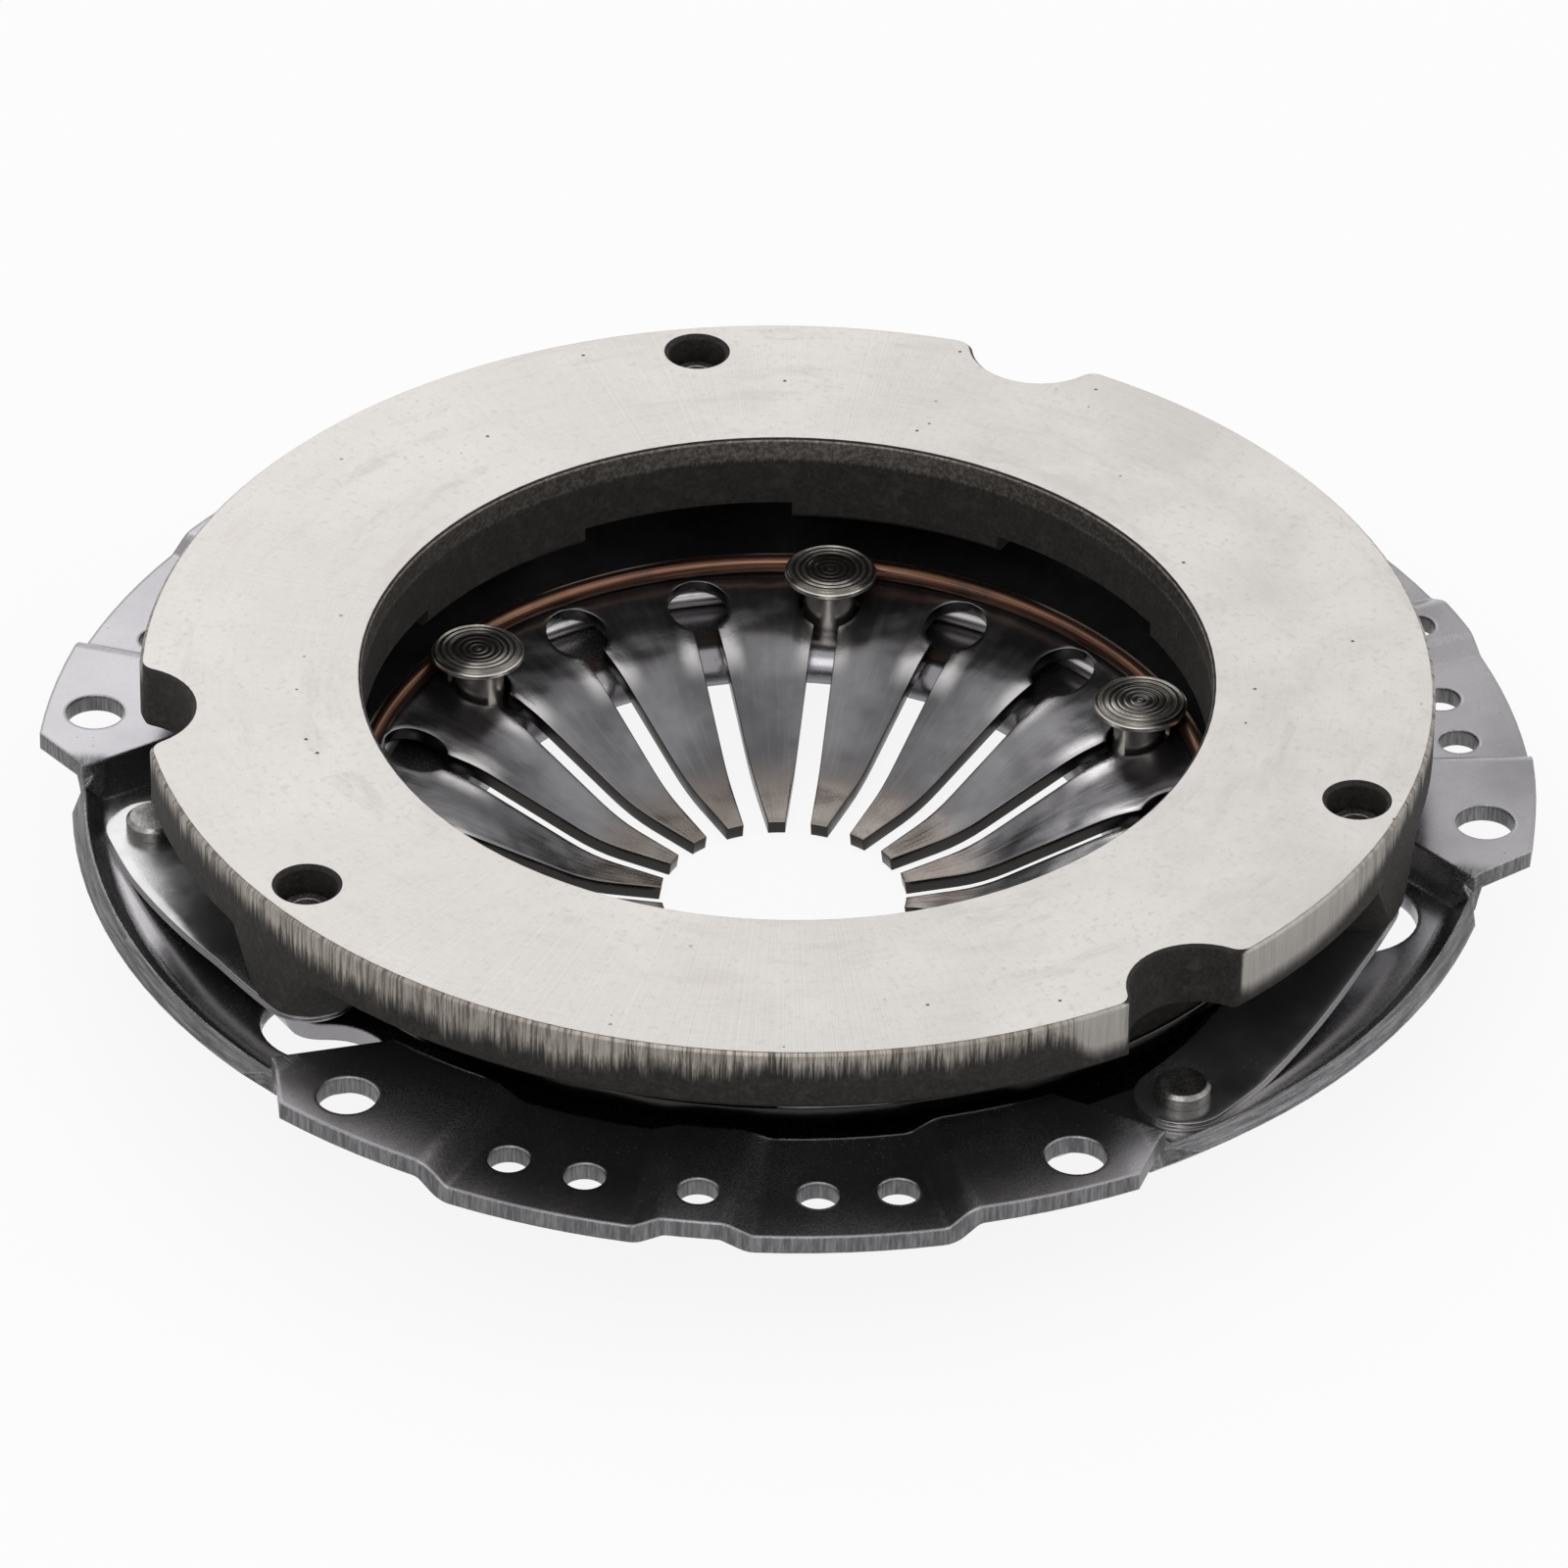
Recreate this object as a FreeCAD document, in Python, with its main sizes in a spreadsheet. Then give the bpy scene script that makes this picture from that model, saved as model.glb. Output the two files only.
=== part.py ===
import FreeCAD, Part
import Sketcher
import math
import os

# Clutch pressure plate for a 190 mm friction disc, millimetres and degrees.
# Z is the clutch axis and points to the flywheel. Z = 0 is the face of the six bolt lands.
# X runs through the middle of one of the three flange segments.

SIZES = (
    ("plate_outer_radius", 97.0, "friction ring, outside"),
    ("friction_width", 33.3, "friction ring, from its bore to its outside"),
    ("friction_face_height", 17.5, "friction face above the bolt lands, spring free"),
    ("plate_rim_thickness", 10.0, "casting at its rim"),
    ("plate_root_thickness", 14.8, "casting between the bore and the ridge"),
    ("plate_edge_chamfer", 0.5, "broken edges of the friction face"),
    ("plate_cast_edge", 1.0, "lower edges of the casting"),
    ("turning_stock", 1.0, "casting left outside for turning"),
    ("ridge_fillet_radius", 1.8, "roots of the ridge"),
    ("ridge_inset", 2.0, "ridge circle inside the edge of the spring"),
    ("ridge_tip_radius", 1.8, "round nose of the ridge"),
    ("ridge_flank_angle", 20.0, "flanks of the ridge, from the clutch axis"),
    ("ridge_spring_gap", 0.2, "ridge nose to spring, at rest"),
    ("vent_width_angle", 30.0, "each air channel through the ridge"),
    ("vent_first_angle", 21.0, "middle of the first air channel"),
    ("vent_roof_height", 5.8, "roof of the air channels"),
    ("notch_radius", 10.3, "access notch in the rim"),
    ("notch_centre_reach", 2.3, "centre of the notch outside the rim"),
    ("notch_angle", 43.5, "middle of the notch"),
    ("notch_edge_radius", 3.0, "round corners of the notch at the rim"),
    ("lug_angle", 75.85, "plate lug and its rivet"),
    ("lug_inset", 7.2, "plate rivets inside the rim"),
    ("lug_foot_radius", 7.6, "lug at its foot"),
    ("lug_draft_angle", 22.0, "draft of the lug"),
    ("access_bore_radius", 4.5, "bore over the plate rivet"),
    ("access_bore_depth", 7.0, "depth of that bore"),
    ("access_bore_chamfer", 0.65, "edge of that bore"),
    ("sheet_thickness", 2.8, "cover sheet"),
    ("floor_depth", 13.2, "inside of the cover floor below the bolt lands"),
    ("opening_inset", 9.8, "central opening inside the spacer rivets"),
    ("lip_depth", 18.1, "edge of the opening below the bolt lands"),
    ("bowl_spring_gap", 2.8, "bowl, at its floor, outside the spring"),
    ("bowl_wall_angle", 70.0, "slope of the bowl wall"),
    ("bowl_bend_radius", 3.5, "inside bend between floor and wall"),
    ("lip_bend_radius", 2.0, "inside bend of the lip"),
    ("wall_joint_depth", 9.0, "level where the bowl wall takes over"),
    ("flange_reach", 15.9, "flange outside the friction ring"),
    ("balance_land_depth", 3.1, "lands with the balance holes"),
    ("dowel_land_depth", 1.1, "land with the dowel hole"),
    ("pocket_depth", 5.7, "strap pockets"),
    ("dowel_land_half_width", 4.7, "half width of the dowel land"),
    ("dowel_land_slope", 27.0, "slope on both sides of the dowel land"),
    ("bolt_angle", 30.0, "bolts from the middle of their segment"),
    ("bolt_land_angle", 20.5, "start of the bolt land"),
    ("bolt_land_slope", 41.0, "slope of the bolt land towards the balance land"),
    ("pocket_side_slope", 70.0, "slope of the bolt land towards the pocket"),
    ("pocket_side_angle", 38.7, "run of the pocket side, from the radial line of the bolt"),
    ("pocket_corner_inset", 0.9, "outer corner of the pocket side inside the bolt circle"),
    ("pocket_corner_offset", 14.3, "the same corner, beside the bolt's radial line"),
    ("fold_radius", 2.0, "inner radius of the folds between the lands"),
    ("land_lap", 4.5, "how far the side of a land reaches into its neighbours"),
    ("flange_end_rounding", 3.5, "round inner corner at the end of the flange"),
    ("pocket_end_angle", 18.0, "end of the pocket rim, from its edge"),
    ("flange_end_angle", 33.4, "end of the flange at its outside"),
    ("pocket_floor_inset", 10.3, "pocket floor inside the flange edge"),
    ("pocket_rim_depth", 2.9, "top of the pocket rim"),
    ("pocket_rim_angle", 45.0, "slope of the pocket rim"),
    ("window_radius", 9.7, "window under the plate lug"),
    ("window_inset", 0.6, "middle of the window inside the plate rivets"),
    ("window_angle", 78.0, "middle of the window"),
    ("bolt_inset", 7.5, "six flywheel bolts inside the flange edge"),
    ("bolt_hole_radius", 4.45, "clearance for an M8 bolt"),
    ("dowel_inset", 7.3, "three dowels inside the flange edge"),
    ("dowel_hole_radius", 2.98, "fit for a 6 mm dowel"),
    ("balance_inset", 9.83, "twelve balance holes inside the flange edge"),
    ("balance_hole_radius", 3.08, "balance hole"),
    ("balance_inner_angle", 9.39, "inner balance holes from the segment middle"),
    ("balance_outer_angle", 15.85, "outer balance holes from the segment middle"),
    ("spring_inset", 14.0, "edge of the spring inside the rim"),
    ("spring_tip_radius", 18.6, "finger tips"),
    ("spring_thickness", 2.3, "spring steel"),
    ("spring_cone_angle", 15.0, "free cone of the spring"),
    ("finger_bend_inset", 9.5, "finger bend inside the spacer rivets"),
    ("finger_slope_angle", 26.5, "slope of the fingers"),
    ("finger_knee_share", 0.369, "where the finger ends flatten, from tip to bend"),
    ("finger_end_angle", 8.5, "slope of the finger ends"),
    ("finger_bend_rounding", 7.0, "rounding of both finger bends"),
    ("finger_slot_width", 3.9, "slots between the fingers"),
    ("keyhole_radius", 4.85, "round end of each slot"),
    ("wire_radius", 1.5, "fulcrum rings"),
    ("wire_seat_gap", 0.05, "ring to spring"),
    ("spacer_inset", 4.7, "spacer rivets and keyholes inside the bore"),
    ("spacer_shoulder_radius", 4.0, "shoulder through the keyhole"),
    ("spacer_ring_gap", 0.2, "shoulder to fulcrum ring"),
    ("spacer_head_radius", 7.1, "flat head"),
    ("spacer_head_thickness", 1.6, "head over the ring"),
    ("spacer_head_bevel", 0.5, "bevel round the head"),
    ("spacer_groove_depth", 0.25, "turned grooves in the head"),
    ("spacer_groove_width", 0.5, "width of each turned groove"),
    ("spacer_groove_radius", 4.4, "innermost turned groove"),
    ("spacer_groove_pitch", 0.9, "step between turned grooves"),
    ("spacer_shank_radius", 3.0, "shank in the cover"),
    ("spacer_closing_radius", 4.8, "closing head under the cover"),
    ("spacer_closing_height", 2.4, "height of the closing head"),
    ("spacer_closing_taper", 0.8, "taper of the closing head"),
    ("strap_cover_inset", 1.6, "cover rivets of the straps inside the rim"),
    ("strap_cover_angle", 43.9, "cover rivet of the strap"),
    ("strap_leaf_thickness", 0.7, "each leaf"),
    ("strap_half_width", 7.1, "half the leaf width, and its round ends"),
    ("strap_bow", 2.2, "outward bow of the leaf"),
    ("strap_rise", 3.5, "lug end above the cover end, spring free"),
    ("strap_flat_length", 9.5, "flat stretch from the cover rivet to the first bend"),
    ("strap_lug_flat_length", 12.5, "flat stretch from the second bend to the plate rivet"),
    ("strap_bend_radius", 12.0, "bends of the leaf"),
    ("strap_rivet_radius", 2.6, "shank of the strap rivets"),
    ("strap_rivet_fit", 0.05, "gap round a strap rivet"),
    ("strap_head_radius", 4.1, "head of the cover rivet"),
    ("strap_head_height", 2.3, "height of both strap rivet heads"),
    ("strap_head_bevel", 0.6, "bevel of those heads"),
    ("strap_closing_radius", 4.3, "closing head under the cover"),
    ("strap_closing_height", 1.9, "height of that closing head"),
    ("lug_closing_radius", 4.0, "tubular end in the access bore"),
    ("lug_closing_height", 2.8, "height of the tubular end"),
    ("lug_hollow_radius", 2.3, "hollow of the tubular end"),
    ("lug_hollow_depth", 2.2, "depth of the hollow"),
    ("lug_hollow_taper", 0.4, "taper of the hollow"),
    ("rivet_fit", 0.05, "gap round a spacer rivet shank"),
)
SEGMENTS = 3
FINGERS = 18
SPACER_RIVETS = 6
VENTS = 6
HEAD_GROOVES = 3
STRAP_LEAVES = ("lower", "upper")
NODES = []

# Lengths in millimetres and an angle in degrees that only help the modelling

OVERLAP = 0.3
BEYOND = 1.0
RUN_OUT = 15.0
SECTOR_MARGIN = 5.0
TOLERANCE = 1e-3


class Size:
    """A size with its value and the formula that ties it to the sheet."""

    def __init__(self, value, formula):
        self.value = float(value)
        self.formula = formula

    def __add__(self, other):
        return Size(self.value + number(other), "(%s + %s)" % (self.formula, text(other)))

    def __radd__(self, other):
        return Size(number(other) + self.value, "(%s + %s)" % (text(other), self.formula))

    def __sub__(self, other):
        return Size(self.value - number(other), "(%s - %s)" % (self.formula, text(other)))

    def __rsub__(self, other):
        return Size(number(other) - self.value, "(%s - %s)" % (text(other), self.formula))

    def __mul__(self, other):
        return Size(self.value * number(other), "(%s * %s)" % (self.formula, text(other)))

    def __rmul__(self, other):
        return Size(number(other) * self.value, "(%s * %s)" % (text(other), self.formula))

    def __truediv__(self, other):
        return Size(self.value / number(other), "(%s / %s)" % (self.formula, text(other)))

    def __rtruediv__(self, other):
        return Size(number(other) / self.value, "(%s / %s)" % (text(other), self.formula))

    def __neg__(self):
        return Size(-self.value, "(0 - %s)" % self.formula)


def number(size):
    return size.value if isinstance(size, Size) else float(size)


def text(size):
    return size.formula if isinstance(size, Size) else "%r" % float(size)


def sine(angle):
    return Size(math.sin(math.radians(number(angle))), "sin(%s * 1deg)" % text(angle))


def cosine(angle):
    return Size(math.cos(math.radians(number(angle))), "cos(%s * 1deg)" % text(angle))


def tangent(angle):
    return Size(math.tan(math.radians(number(angle))), "tan(%s * 1deg)" % text(angle))


def polar(radius, angle):
    return radius * cosine(angle), radius * sine(angle)


def distance(first, second):
    run = second[0] - first[0]
    climb = second[1] - first[1]
    length = math.hypot(number(run), number(climb))
    return Size(length, "sqrt(pow(%s; 2) + pow(%s; 2))" % (text(run), text(climb)))


def heading(first, second):
    run = second[0] - first[0]
    climb = second[1] - first[1]
    angle = math.degrees(math.atan2(number(climb), number(run)))
    return Size(angle, "(atan2(%s; %s) / 1deg)" % (text(climb), text(run)))


# Document and sheet

doc = FreeCAD.newDocument("ClutchPressurePlate")
sheet = doc.addObject("Spreadsheet::Sheet", "Dimensions")


def fill_sheet():
    sizes = {}
    for row, (name, value, note) in enumerate(SIZES, start=1):
        sheet.set("A%d" % row, name)
        sheet.set("B%d" % row, "%r" % value)
        sheet.set("C%d" % row, note)
        sheet.setAlias("B%d" % row, name)
        sizes[name] = Size(value, "Dimensions.%s" % name)
    doc.recompute()
    return sizes


size = fill_sheet()


# Radii that follow from the friction ring

plate_rim = size["plate_outer_radius"]
plate_bore = plate_rim - size["friction_width"]
notch_circle = plate_rim + size["notch_centre_reach"]
lug_circle = plate_rim - size["lug_inset"]
strap_circle = plate_rim - size["strap_cover_inset"]
window_circle = lug_circle - size["window_inset"]
spring_rim = plate_rim - size["spring_inset"]
ridge_circle = spring_rim - size["ridge_inset"]
bowl_foot = spring_rim + size["bowl_spring_gap"]
flange_rim = plate_rim + size["flange_reach"]
bolt_circle = flange_rim - size["bolt_inset"]
dowel_circle = flange_rim - size["dowel_inset"]
balance_circle = flange_rim - size["balance_inset"]
pocket_floor_rim = flange_rim - size["pocket_floor_inset"]
spacer_circle = plate_bore - size["spacer_inset"]
opening_rim = spacer_circle - size["opening_inset"]
finger_bend = spacer_circle - size["finger_bend_inset"]
finger_reach = finger_bend - size["spring_tip_radius"]
finger_knee = size["spring_tip_radius"] + finger_reach * size["finger_knee_share"]


# Modelling helpers

def bind(item, path, value):
    if isinstance(value, Size):
        item.setExpression(path, value.formula)


def new_body(name):
    body = doc.addObject("PartDesign::Body", name)
    body.AllowCompound = False
    return body


def origin_part(body, role):
    return [item for item in body.Origin.OriginFeatures if item.Role == role][0]


def new_sketch(body, name, role, height=None, turn=None):
    """A sketch on an origin plane, turned about the clutch axis and lifted along its normal."""
    sketch = body.newObject("Sketcher::SketchObject", name)
    sketch.AttachmentSupport = [(origin_part(body, role), "")]
    sketch.MapMode = "FlatFace"
    level = role == "XY_Plane"
    clutch_axis = FreeCAD.Vector(0, 0, 1) if level else FreeCAD.Vector(0, 1, 0)
    height, turn = (0.0 if height is None else height), (0.0 if turn is None else turn)
    aside = 0.0 if level else height * sine(turn)
    ahead = height if level else height * cosine(turn)
    spin = FreeCAD.Rotation(clutch_axis, number(turn))
    sketch.AttachmentOffset = FreeCAD.Placement(FreeCAD.Vector(number(aside), 0, number(ahead)), spin)
    if number(height):
        bind(sketch, "AttachmentOffset.Base.x", aside)
        bind(sketch, "AttachmentOffset.Base.z", ahead)
    bind(sketch, "AttachmentOffset.Rotation.Angle", turn)
    return sketch


def fix_point(sketch, geometry, end, x, y):
    for kind, value in (("DistanceX", x), ("DistanceY", y)):
        index = sketch.addConstraint(Sketcher.Constraint(kind, -1, 1, geometry, end, number(value)))
        bind(sketch, "Constraints[%d]" % index, value)


def fix_radius(sketch, geometry, radius):
    index = sketch.addConstraint(Sketcher.Constraint("Radius", geometry, number(radius)))
    bind(sketch, "Constraints[%d]" % index, radius)


def circle(sketch, centre, radius):
    place = FreeCAD.Vector(number(centre[0]), number(centre[1]), 0)
    ring = Part.Circle(place, FreeCAD.Vector(0, 0, 1), number(radius))
    index = sketch.addGeometry(ring, False)
    fix_point(sketch, index, 3, *centre)
    fix_radius(sketch, index, radius)


def corner_arc(before, corner, after, radius):
    """Tangent points, centre and turning sense of the arc that rounds a corner."""
    back = (before - corner).normalize()
    ahead = (after - corner).normalize()
    half = back.getAngle(ahead) / 2
    reach = radius / math.tan(half)
    centre = corner + (back + ahead).normalize() * (radius / math.sin(half))
    left_turn = back.cross(ahead).z < 0
    return corner + back * reach, corner + ahead * reach, centre, left_turn


def outline(sketch, corners):
    """A closed outline of straight lines through corners (x, y) or rounded ones (x, y, radius)."""
    places = [FreeCAD.Vector(number(c[0]), number(c[1]), 0) for c in corners]
    count = len(corners)
    arcs = {}
    for i, corner in enumerate(corners):
        if len(corner) == 3:
            arcs[i] = corner_arc(places[i - 1], places[i], places[(i + 1) % count], number(corner[2]))
    lines = []
    for i in range(count):
        j = (i + 1) % count
        start = arcs[i][1] if i in arcs else places[i]
        end = arcs[j][0] if j in arcs else places[j]
        lines.append(sketch.addGeometry(Part.LineSegment(start, end), False))
    for i, corner in enumerate(corners):
        before, after = lines[i - 1], lines[i]
        if i in arcs:
            round_corner(sketch, before, after, corner, arcs[i])
        else:
            sketch.addConstraint(Sketcher.Constraint("Coincident", before, 2, after, 1))
            fix_point(sketch, after, 1, corner[0], corner[1])


def round_corner(sketch, before, after, corner, arc):
    first, last, centre, left_turn = arc
    start, end = (first, last) if left_turn else (last, first)
    ring = Part.Circle(centre, FreeCAD.Vector(0, 0, 1), number(corner[2]))
    bend = Part.ArcOfCircle(ring, ring.parameter(start), ring.parameter(end))
    index = sketch.addGeometry(bend, False)
    place = FreeCAD.Vector(number(corner[0]), number(corner[1]), 0)
    point = sketch.addGeometry(Part.Point(place), True)
    fix_point(sketch, point, 1, corner[0], corner[1])
    sketch.addConstraint(Sketcher.Constraint("PointOnObject", point, 1, before))
    sketch.addConstraint(Sketcher.Constraint("PointOnObject", point, 1, after))
    near, far = (1, 2) if left_turn else (2, 1)
    sketch.addConstraint(Sketcher.Constraint("Tangent", before, 2, index, near))
    sketch.addConstraint(Sketcher.Constraint("Tangent", index, far, after, 1))
    fix_radius(sketch, index, corner[2])


def turned(body, name, corners, kind="Revolution", sweep=None, turn=None):
    """A full or partial turn of an (r, z) outline about the clutch axis, added or cut."""
    sketch = new_sketch(body, name + "Profile", "XZ_Plane", turn=turn)
    outline(sketch, corners)
    feature = body.newObject("PartDesign::" + kind, name)
    feature.Profile = sketch
    feature.ReferenceAxis = (sketch, ["V_Axis"])
    feature.Angle = 360 if sweep is None else number(sweep)
    if sweep is not None:
        feature.Midplane = True
        bind(feature, "Angle", sweep)
    return feature


def cut_down(body, name, top, depth, draw):
    """A pocket that starts at height top and goes down by depth; draw fills its sketch."""
    sketch = new_sketch(body, name + "Outline", "XY_Plane", height=top)
    draw(sketch)
    feature = body.newObject("PartDesign::Pocket", name)
    feature.Profile = sketch
    feature.Type = 0
    feature.Length = number(depth)
    bind(feature, "Length", depth)
    return feature


def loft(body, name, low, low_corners, high, high_corners, turn=None):
    foot = new_sketch(body, name + "Foot", "XY_Plane", height=low, turn=turn)
    outline(foot, low_corners)
    top = new_sketch(body, name + "Top", "XY_Plane", height=high, turn=turn)
    outline(top, high_corners)
    feature = body.newObject("PartDesign::AdditiveLoft", name)
    feature.Profile = foot
    feature.Sections = [top]
    feature.Ruled = True
    return feature


def spoke(body, name, corners, start, end, turn=None):
    """A (y, z) section drawn out along the radial direction from one radius to another."""
    sketch = new_sketch(body, name + "Section", "YZ_Plane", height=start, turn=turn)
    outline(sketch, corners)
    feature = body.newObject("PartDesign::Pad", name)
    feature.Profile = sketch
    feature.Length = number(end - start)
    bind(feature, "Length", end - start)
    return feature


def around(body, name, features, copies):
    """Copies of features spaced evenly about the clutch axis."""
    pattern = body.newObject("PartDesign::PolarPattern", name)
    pattern.Originals = features
    pattern.Axis = (origin_part(body, "Z_Axis"), [""])
    pattern.Angle = 360
    pattern.Occurrences = copies
    body.Tip = pattern
    return pattern


def finish(item, node, place=None, turn=None):
    """Label a sub-part, put it in its place and list it for export."""
    item.Label = node
    if place is not None:
        x, y, z = place
        spin = FreeCAD.Rotation(FreeCAD.Vector(0, 0, 1), 0 if turn is None else number(turn))
        item.Placement = FreeCAD.Placement(FreeCAD.Vector(number(x), number(y), number(z)), spin)
        for axis, value in (("x", x), ("y", y), ("z", z)):
            bind(item, "Placement.Base." + axis, value)
        bind(item, "Placement.Rotation.Angle", turn)
    NODES.append(item)


# Heights and places that several sub-parts share

floor_top = -size["floor_depth"]
floor_under = floor_top - size["sheet_thickness"]
ring_radius = (spacer_circle + size["spacer_shoulder_radius"]
               + size["spacer_ring_gap"] + size["wire_radius"])
wire_reach = (size["wire_radius"] + size["wire_seat_gap"]) / cosine(size["spring_cone_angle"])
spring_rise = size["spring_thickness"] / cosine(size["spring_cone_angle"])
lower_ring_height = floor_top + size["wire_radius"]
spring_under_ring = lower_ring_height + wire_reach
spring_over_ring = spring_under_ring + spring_rise
upper_ring_height = spring_over_ring + wire_reach
head_under = upper_ring_height + size["wire_radius"]
strap_seat = -size["pocket_depth"]
strap_stack = size["strap_leaf_thickness"] * len(STRAP_LEAVES)
lug_strap_under = strap_seat + size["strap_rise"]
lug_foot = lug_strap_under + strap_stack
face = size["friction_face_height"]
segment_step = 360.0 / SEGMENTS


def spring_height(radius, under=False):
    """Height of the free spring's cone at a radius outside the finger bend."""
    base = spring_under_ring if under else spring_over_ring
    return base + (radius - ring_radius) * tangent(size["spring_cone_angle"])


# Pressure plate

def plate_profile():
    """Section of the casting: face, bore, inner web, fulcrum ridge, rim."""
    outer, bore, ridge = plate_rim, plate_bore, ridge_circle
    rim_under = face - size["plate_rim_thickness"]
    root_under = face - size["plate_root_thickness"]
    nose, flank = size["ridge_tip_radius"], size["ridge_flank_angle"]
    nose_lift = (nose + size["ridge_spring_gap"]) / cosine(size["spring_cone_angle"])
    nose_centre = spring_height(ridge) + nose_lift
    apex = nose_centre - nose / sine(flank)
    edge, stock = size["plate_cast_edge"], size["turning_stock"]
    fillet = size["ridge_fillet_radius"]
    return [
        (bore, face),
        (bore, root_under + edge),
        (bore + edge, root_under),
        (ridge - (root_under - apex) * tangent(flank), root_under, fillet),
        (ridge, apex, nose),
        (ridge + (rim_under - apex) * tangent(flank), rim_under, fillet),
        (outer - edge, rim_under),
        (outer + stock, rim_under + edge + stock),
        (outer + stock, face),
    ]


def build_pressure_plate():
    body = new_body("PressurePlate")
    turned(body, "PlateCasting", plate_profile())
    inside, outside = plate_bore - BEYOND, plate_rim + size["turning_stock"] + BEYOND
    low, roof = spring_height(ridge_circle) - BEYOND, size["vent_roof_height"]
    vent = turned(body, "VentChannel", [(inside, low), (outside, low), (outside, roof), (inside, roof)],
                  kind="Groove", sweep=size["vent_width_angle"], turn=size["vent_first_angle"])
    around(body, "VentChannels", [vent], VENTS)

    lug_sketch = new_sketch(body, "LugOutline", "XY_Plane", height=lug_foot)
    circle(lug_sketch, polar(lug_circle, size["lug_angle"]), size["lug_foot_radius"])
    lug = body.newObject("PartDesign::Pad", "Lug")
    lug.Profile = lug_sketch
    lug_height = face - size["plate_rim_thickness"] + BEYOND - lug_foot
    lug.Length = number(lug_height)
    bind(lug, "Length", lug_height)
    lug.TaperAngle = number(size["lug_draft_angle"])
    bind(lug, "TaperAngle", size["lug_draft_angle"])
    around(body, "Lugs", [lug], SEGMENTS)

    low, high, far = lug_foot - BEYOND, face + BEYOND, plate_rim + RUN_OUT
    turned(body, "OuterTurning", [
        (plate_rim, low), (far, low), (far, high), (plate_rim, high),
    ], kind="Groove")

    def notch(sketch):
        circle(sketch, polar(notch_circle, size["notch_angle"]), size["notch_radius"])

    def access_bore(sketch):
        circle(sketch, polar(lug_circle, size["lug_angle"]), size["access_bore_radius"])

    def shank_hole(sketch):
        hole = size["strap_rivet_radius"] + size["strap_rivet_fit"]
        circle(sketch, polar(lug_circle, size["lug_angle"]), hole)

    gap = cut_down(body, "AccessNotch", high, high - low, notch)
    around(body, "AccessNotches", [gap], SEGMENTS)
    bore = cut_down(body, "AccessBore", face, size["access_bore_depth"], access_bore)
    shank = cut_down(body, "ShankHole", face, face - low, shank_hole)
    around(body, "RivetBores", [bore, shank], SEGMENTS)
    doc.recompute()
    dress(body, "Fillet", "NotchCorners", "Radius", size["notch_edge_radius"], rim_corner_edges)
    dress(body, "Chamfer", "FaceEdges", "Size", size["plate_edge_chamfer"], face_border_edges)
    dress(body, "Chamfer", "BoreEdges", "Size", size["access_bore_chamfer"], bore_edges)
    finish(body, "pressure_plate")


def dress(body, kind, name, path, value, choose):
    """A fillet or chamfer on the edges that choose picks from the body's last shape."""
    base = body.Tip
    names = ["Edge%d" % (i + 1) for i, edge in enumerate(base.Shape.Edges) if choose(edge)]
    feature = body.newObject("PartDesign::" + kind, name)
    feature.Base = (base, names)
    setattr(feature, path, number(value))
    bind(feature, path, value)
    doc.recompute()


def rim_corner_edges(edge):
    box, point = edge.BoundBox, edge.Vertexes[0].Point
    tall = box.ZLength > size["plate_rim_thickness"].value / 2
    upright = tall and box.XLength < TOLERANCE and box.YLength < TOLERANCE
    at_rim = abs(math.hypot(point.x, point.y) - plate_rim.value) < TOLERANCE
    return upright and at_rim


def at_friction_face(edge):
    return edge.BoundBox.ZMin > face.value - TOLERANCE


def is_access_bore(edge):
    bore = size["access_bore_radius"].value
    return isinstance(edge.Curve, Part.Circle) and abs(edge.Curve.Radius - bore) < TOLERANCE


def face_border_edges(edge):
    return at_friction_face(edge) and not is_access_bore(edge)


def bore_edges(edge):
    return at_friction_face(edge) and is_access_bore(edge)


# Cover

form_top = Size(2.0, "2")
form_inside = bowl_foot - 6.0
form_outside = flange_rim + 8.0
form_beyond = form_outside * 1.1
land_start, land_end = form_inside + BEYOND, form_outside + BEYOND
pocket_corner_run = bolt_circle - size["pocket_corner_inset"]
pocket_corner_radius = distance((0.0, 0.0), (pocket_corner_run, size["pocket_corner_offset"]))
pocket_corner_angle = size["bolt_angle"] + heading(
    (0.0, 0.0), (pocket_corner_run, size["pocket_corner_offset"]))
pocket_span = segment_step - pocket_corner_angle * 2


def offset_run(angle):
    """Sideways shift of a bend when its sheet surface is offset by the sheet thickness."""
    return size["sheet_thickness"] * tangent(angle / 2)


def bowl_wall(depth, offset):
    """Radius of the bowl wall at a depth, inside or offset to the outside."""
    inside = bowl_foot + (size["floor_depth"] - depth) / tangent(size["bowl_wall_angle"])
    if offset:
        return inside + size["sheet_thickness"] / sine(size["bowl_wall_angle"])
    return inside


def bolt_land(fall, offset, side):
    """Bolt land outline at a fall below its top, along and beside the bolt's radial line."""
    lead = size["bolt_angle"] - size["bolt_land_angle"]
    steep, run = size["pocket_side_slope"], size["pocket_side_angle"]
    shift = fall / tangent(steep) - (offset_run(steep) if offset else 0.0)
    corner_x, corner_y = pocket_corner_run, size["pocket_corner_offset"]
    inner, outer = land_start, land_end

    def start(x):
        return size["land_lap"] / cosine(lead) - x * tangent(lead)

    def end(x):
        return corner_y + (x - corner_x) * tangent(run) + shift / cosine(run)

    corners = [(inner, start(inner)), (outer, start(outer)), (outer, end(outer)), (inner, end(inner))]
    return corners if side > 0 else [(x, -y) for x, y in corners[::-1]]


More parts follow.
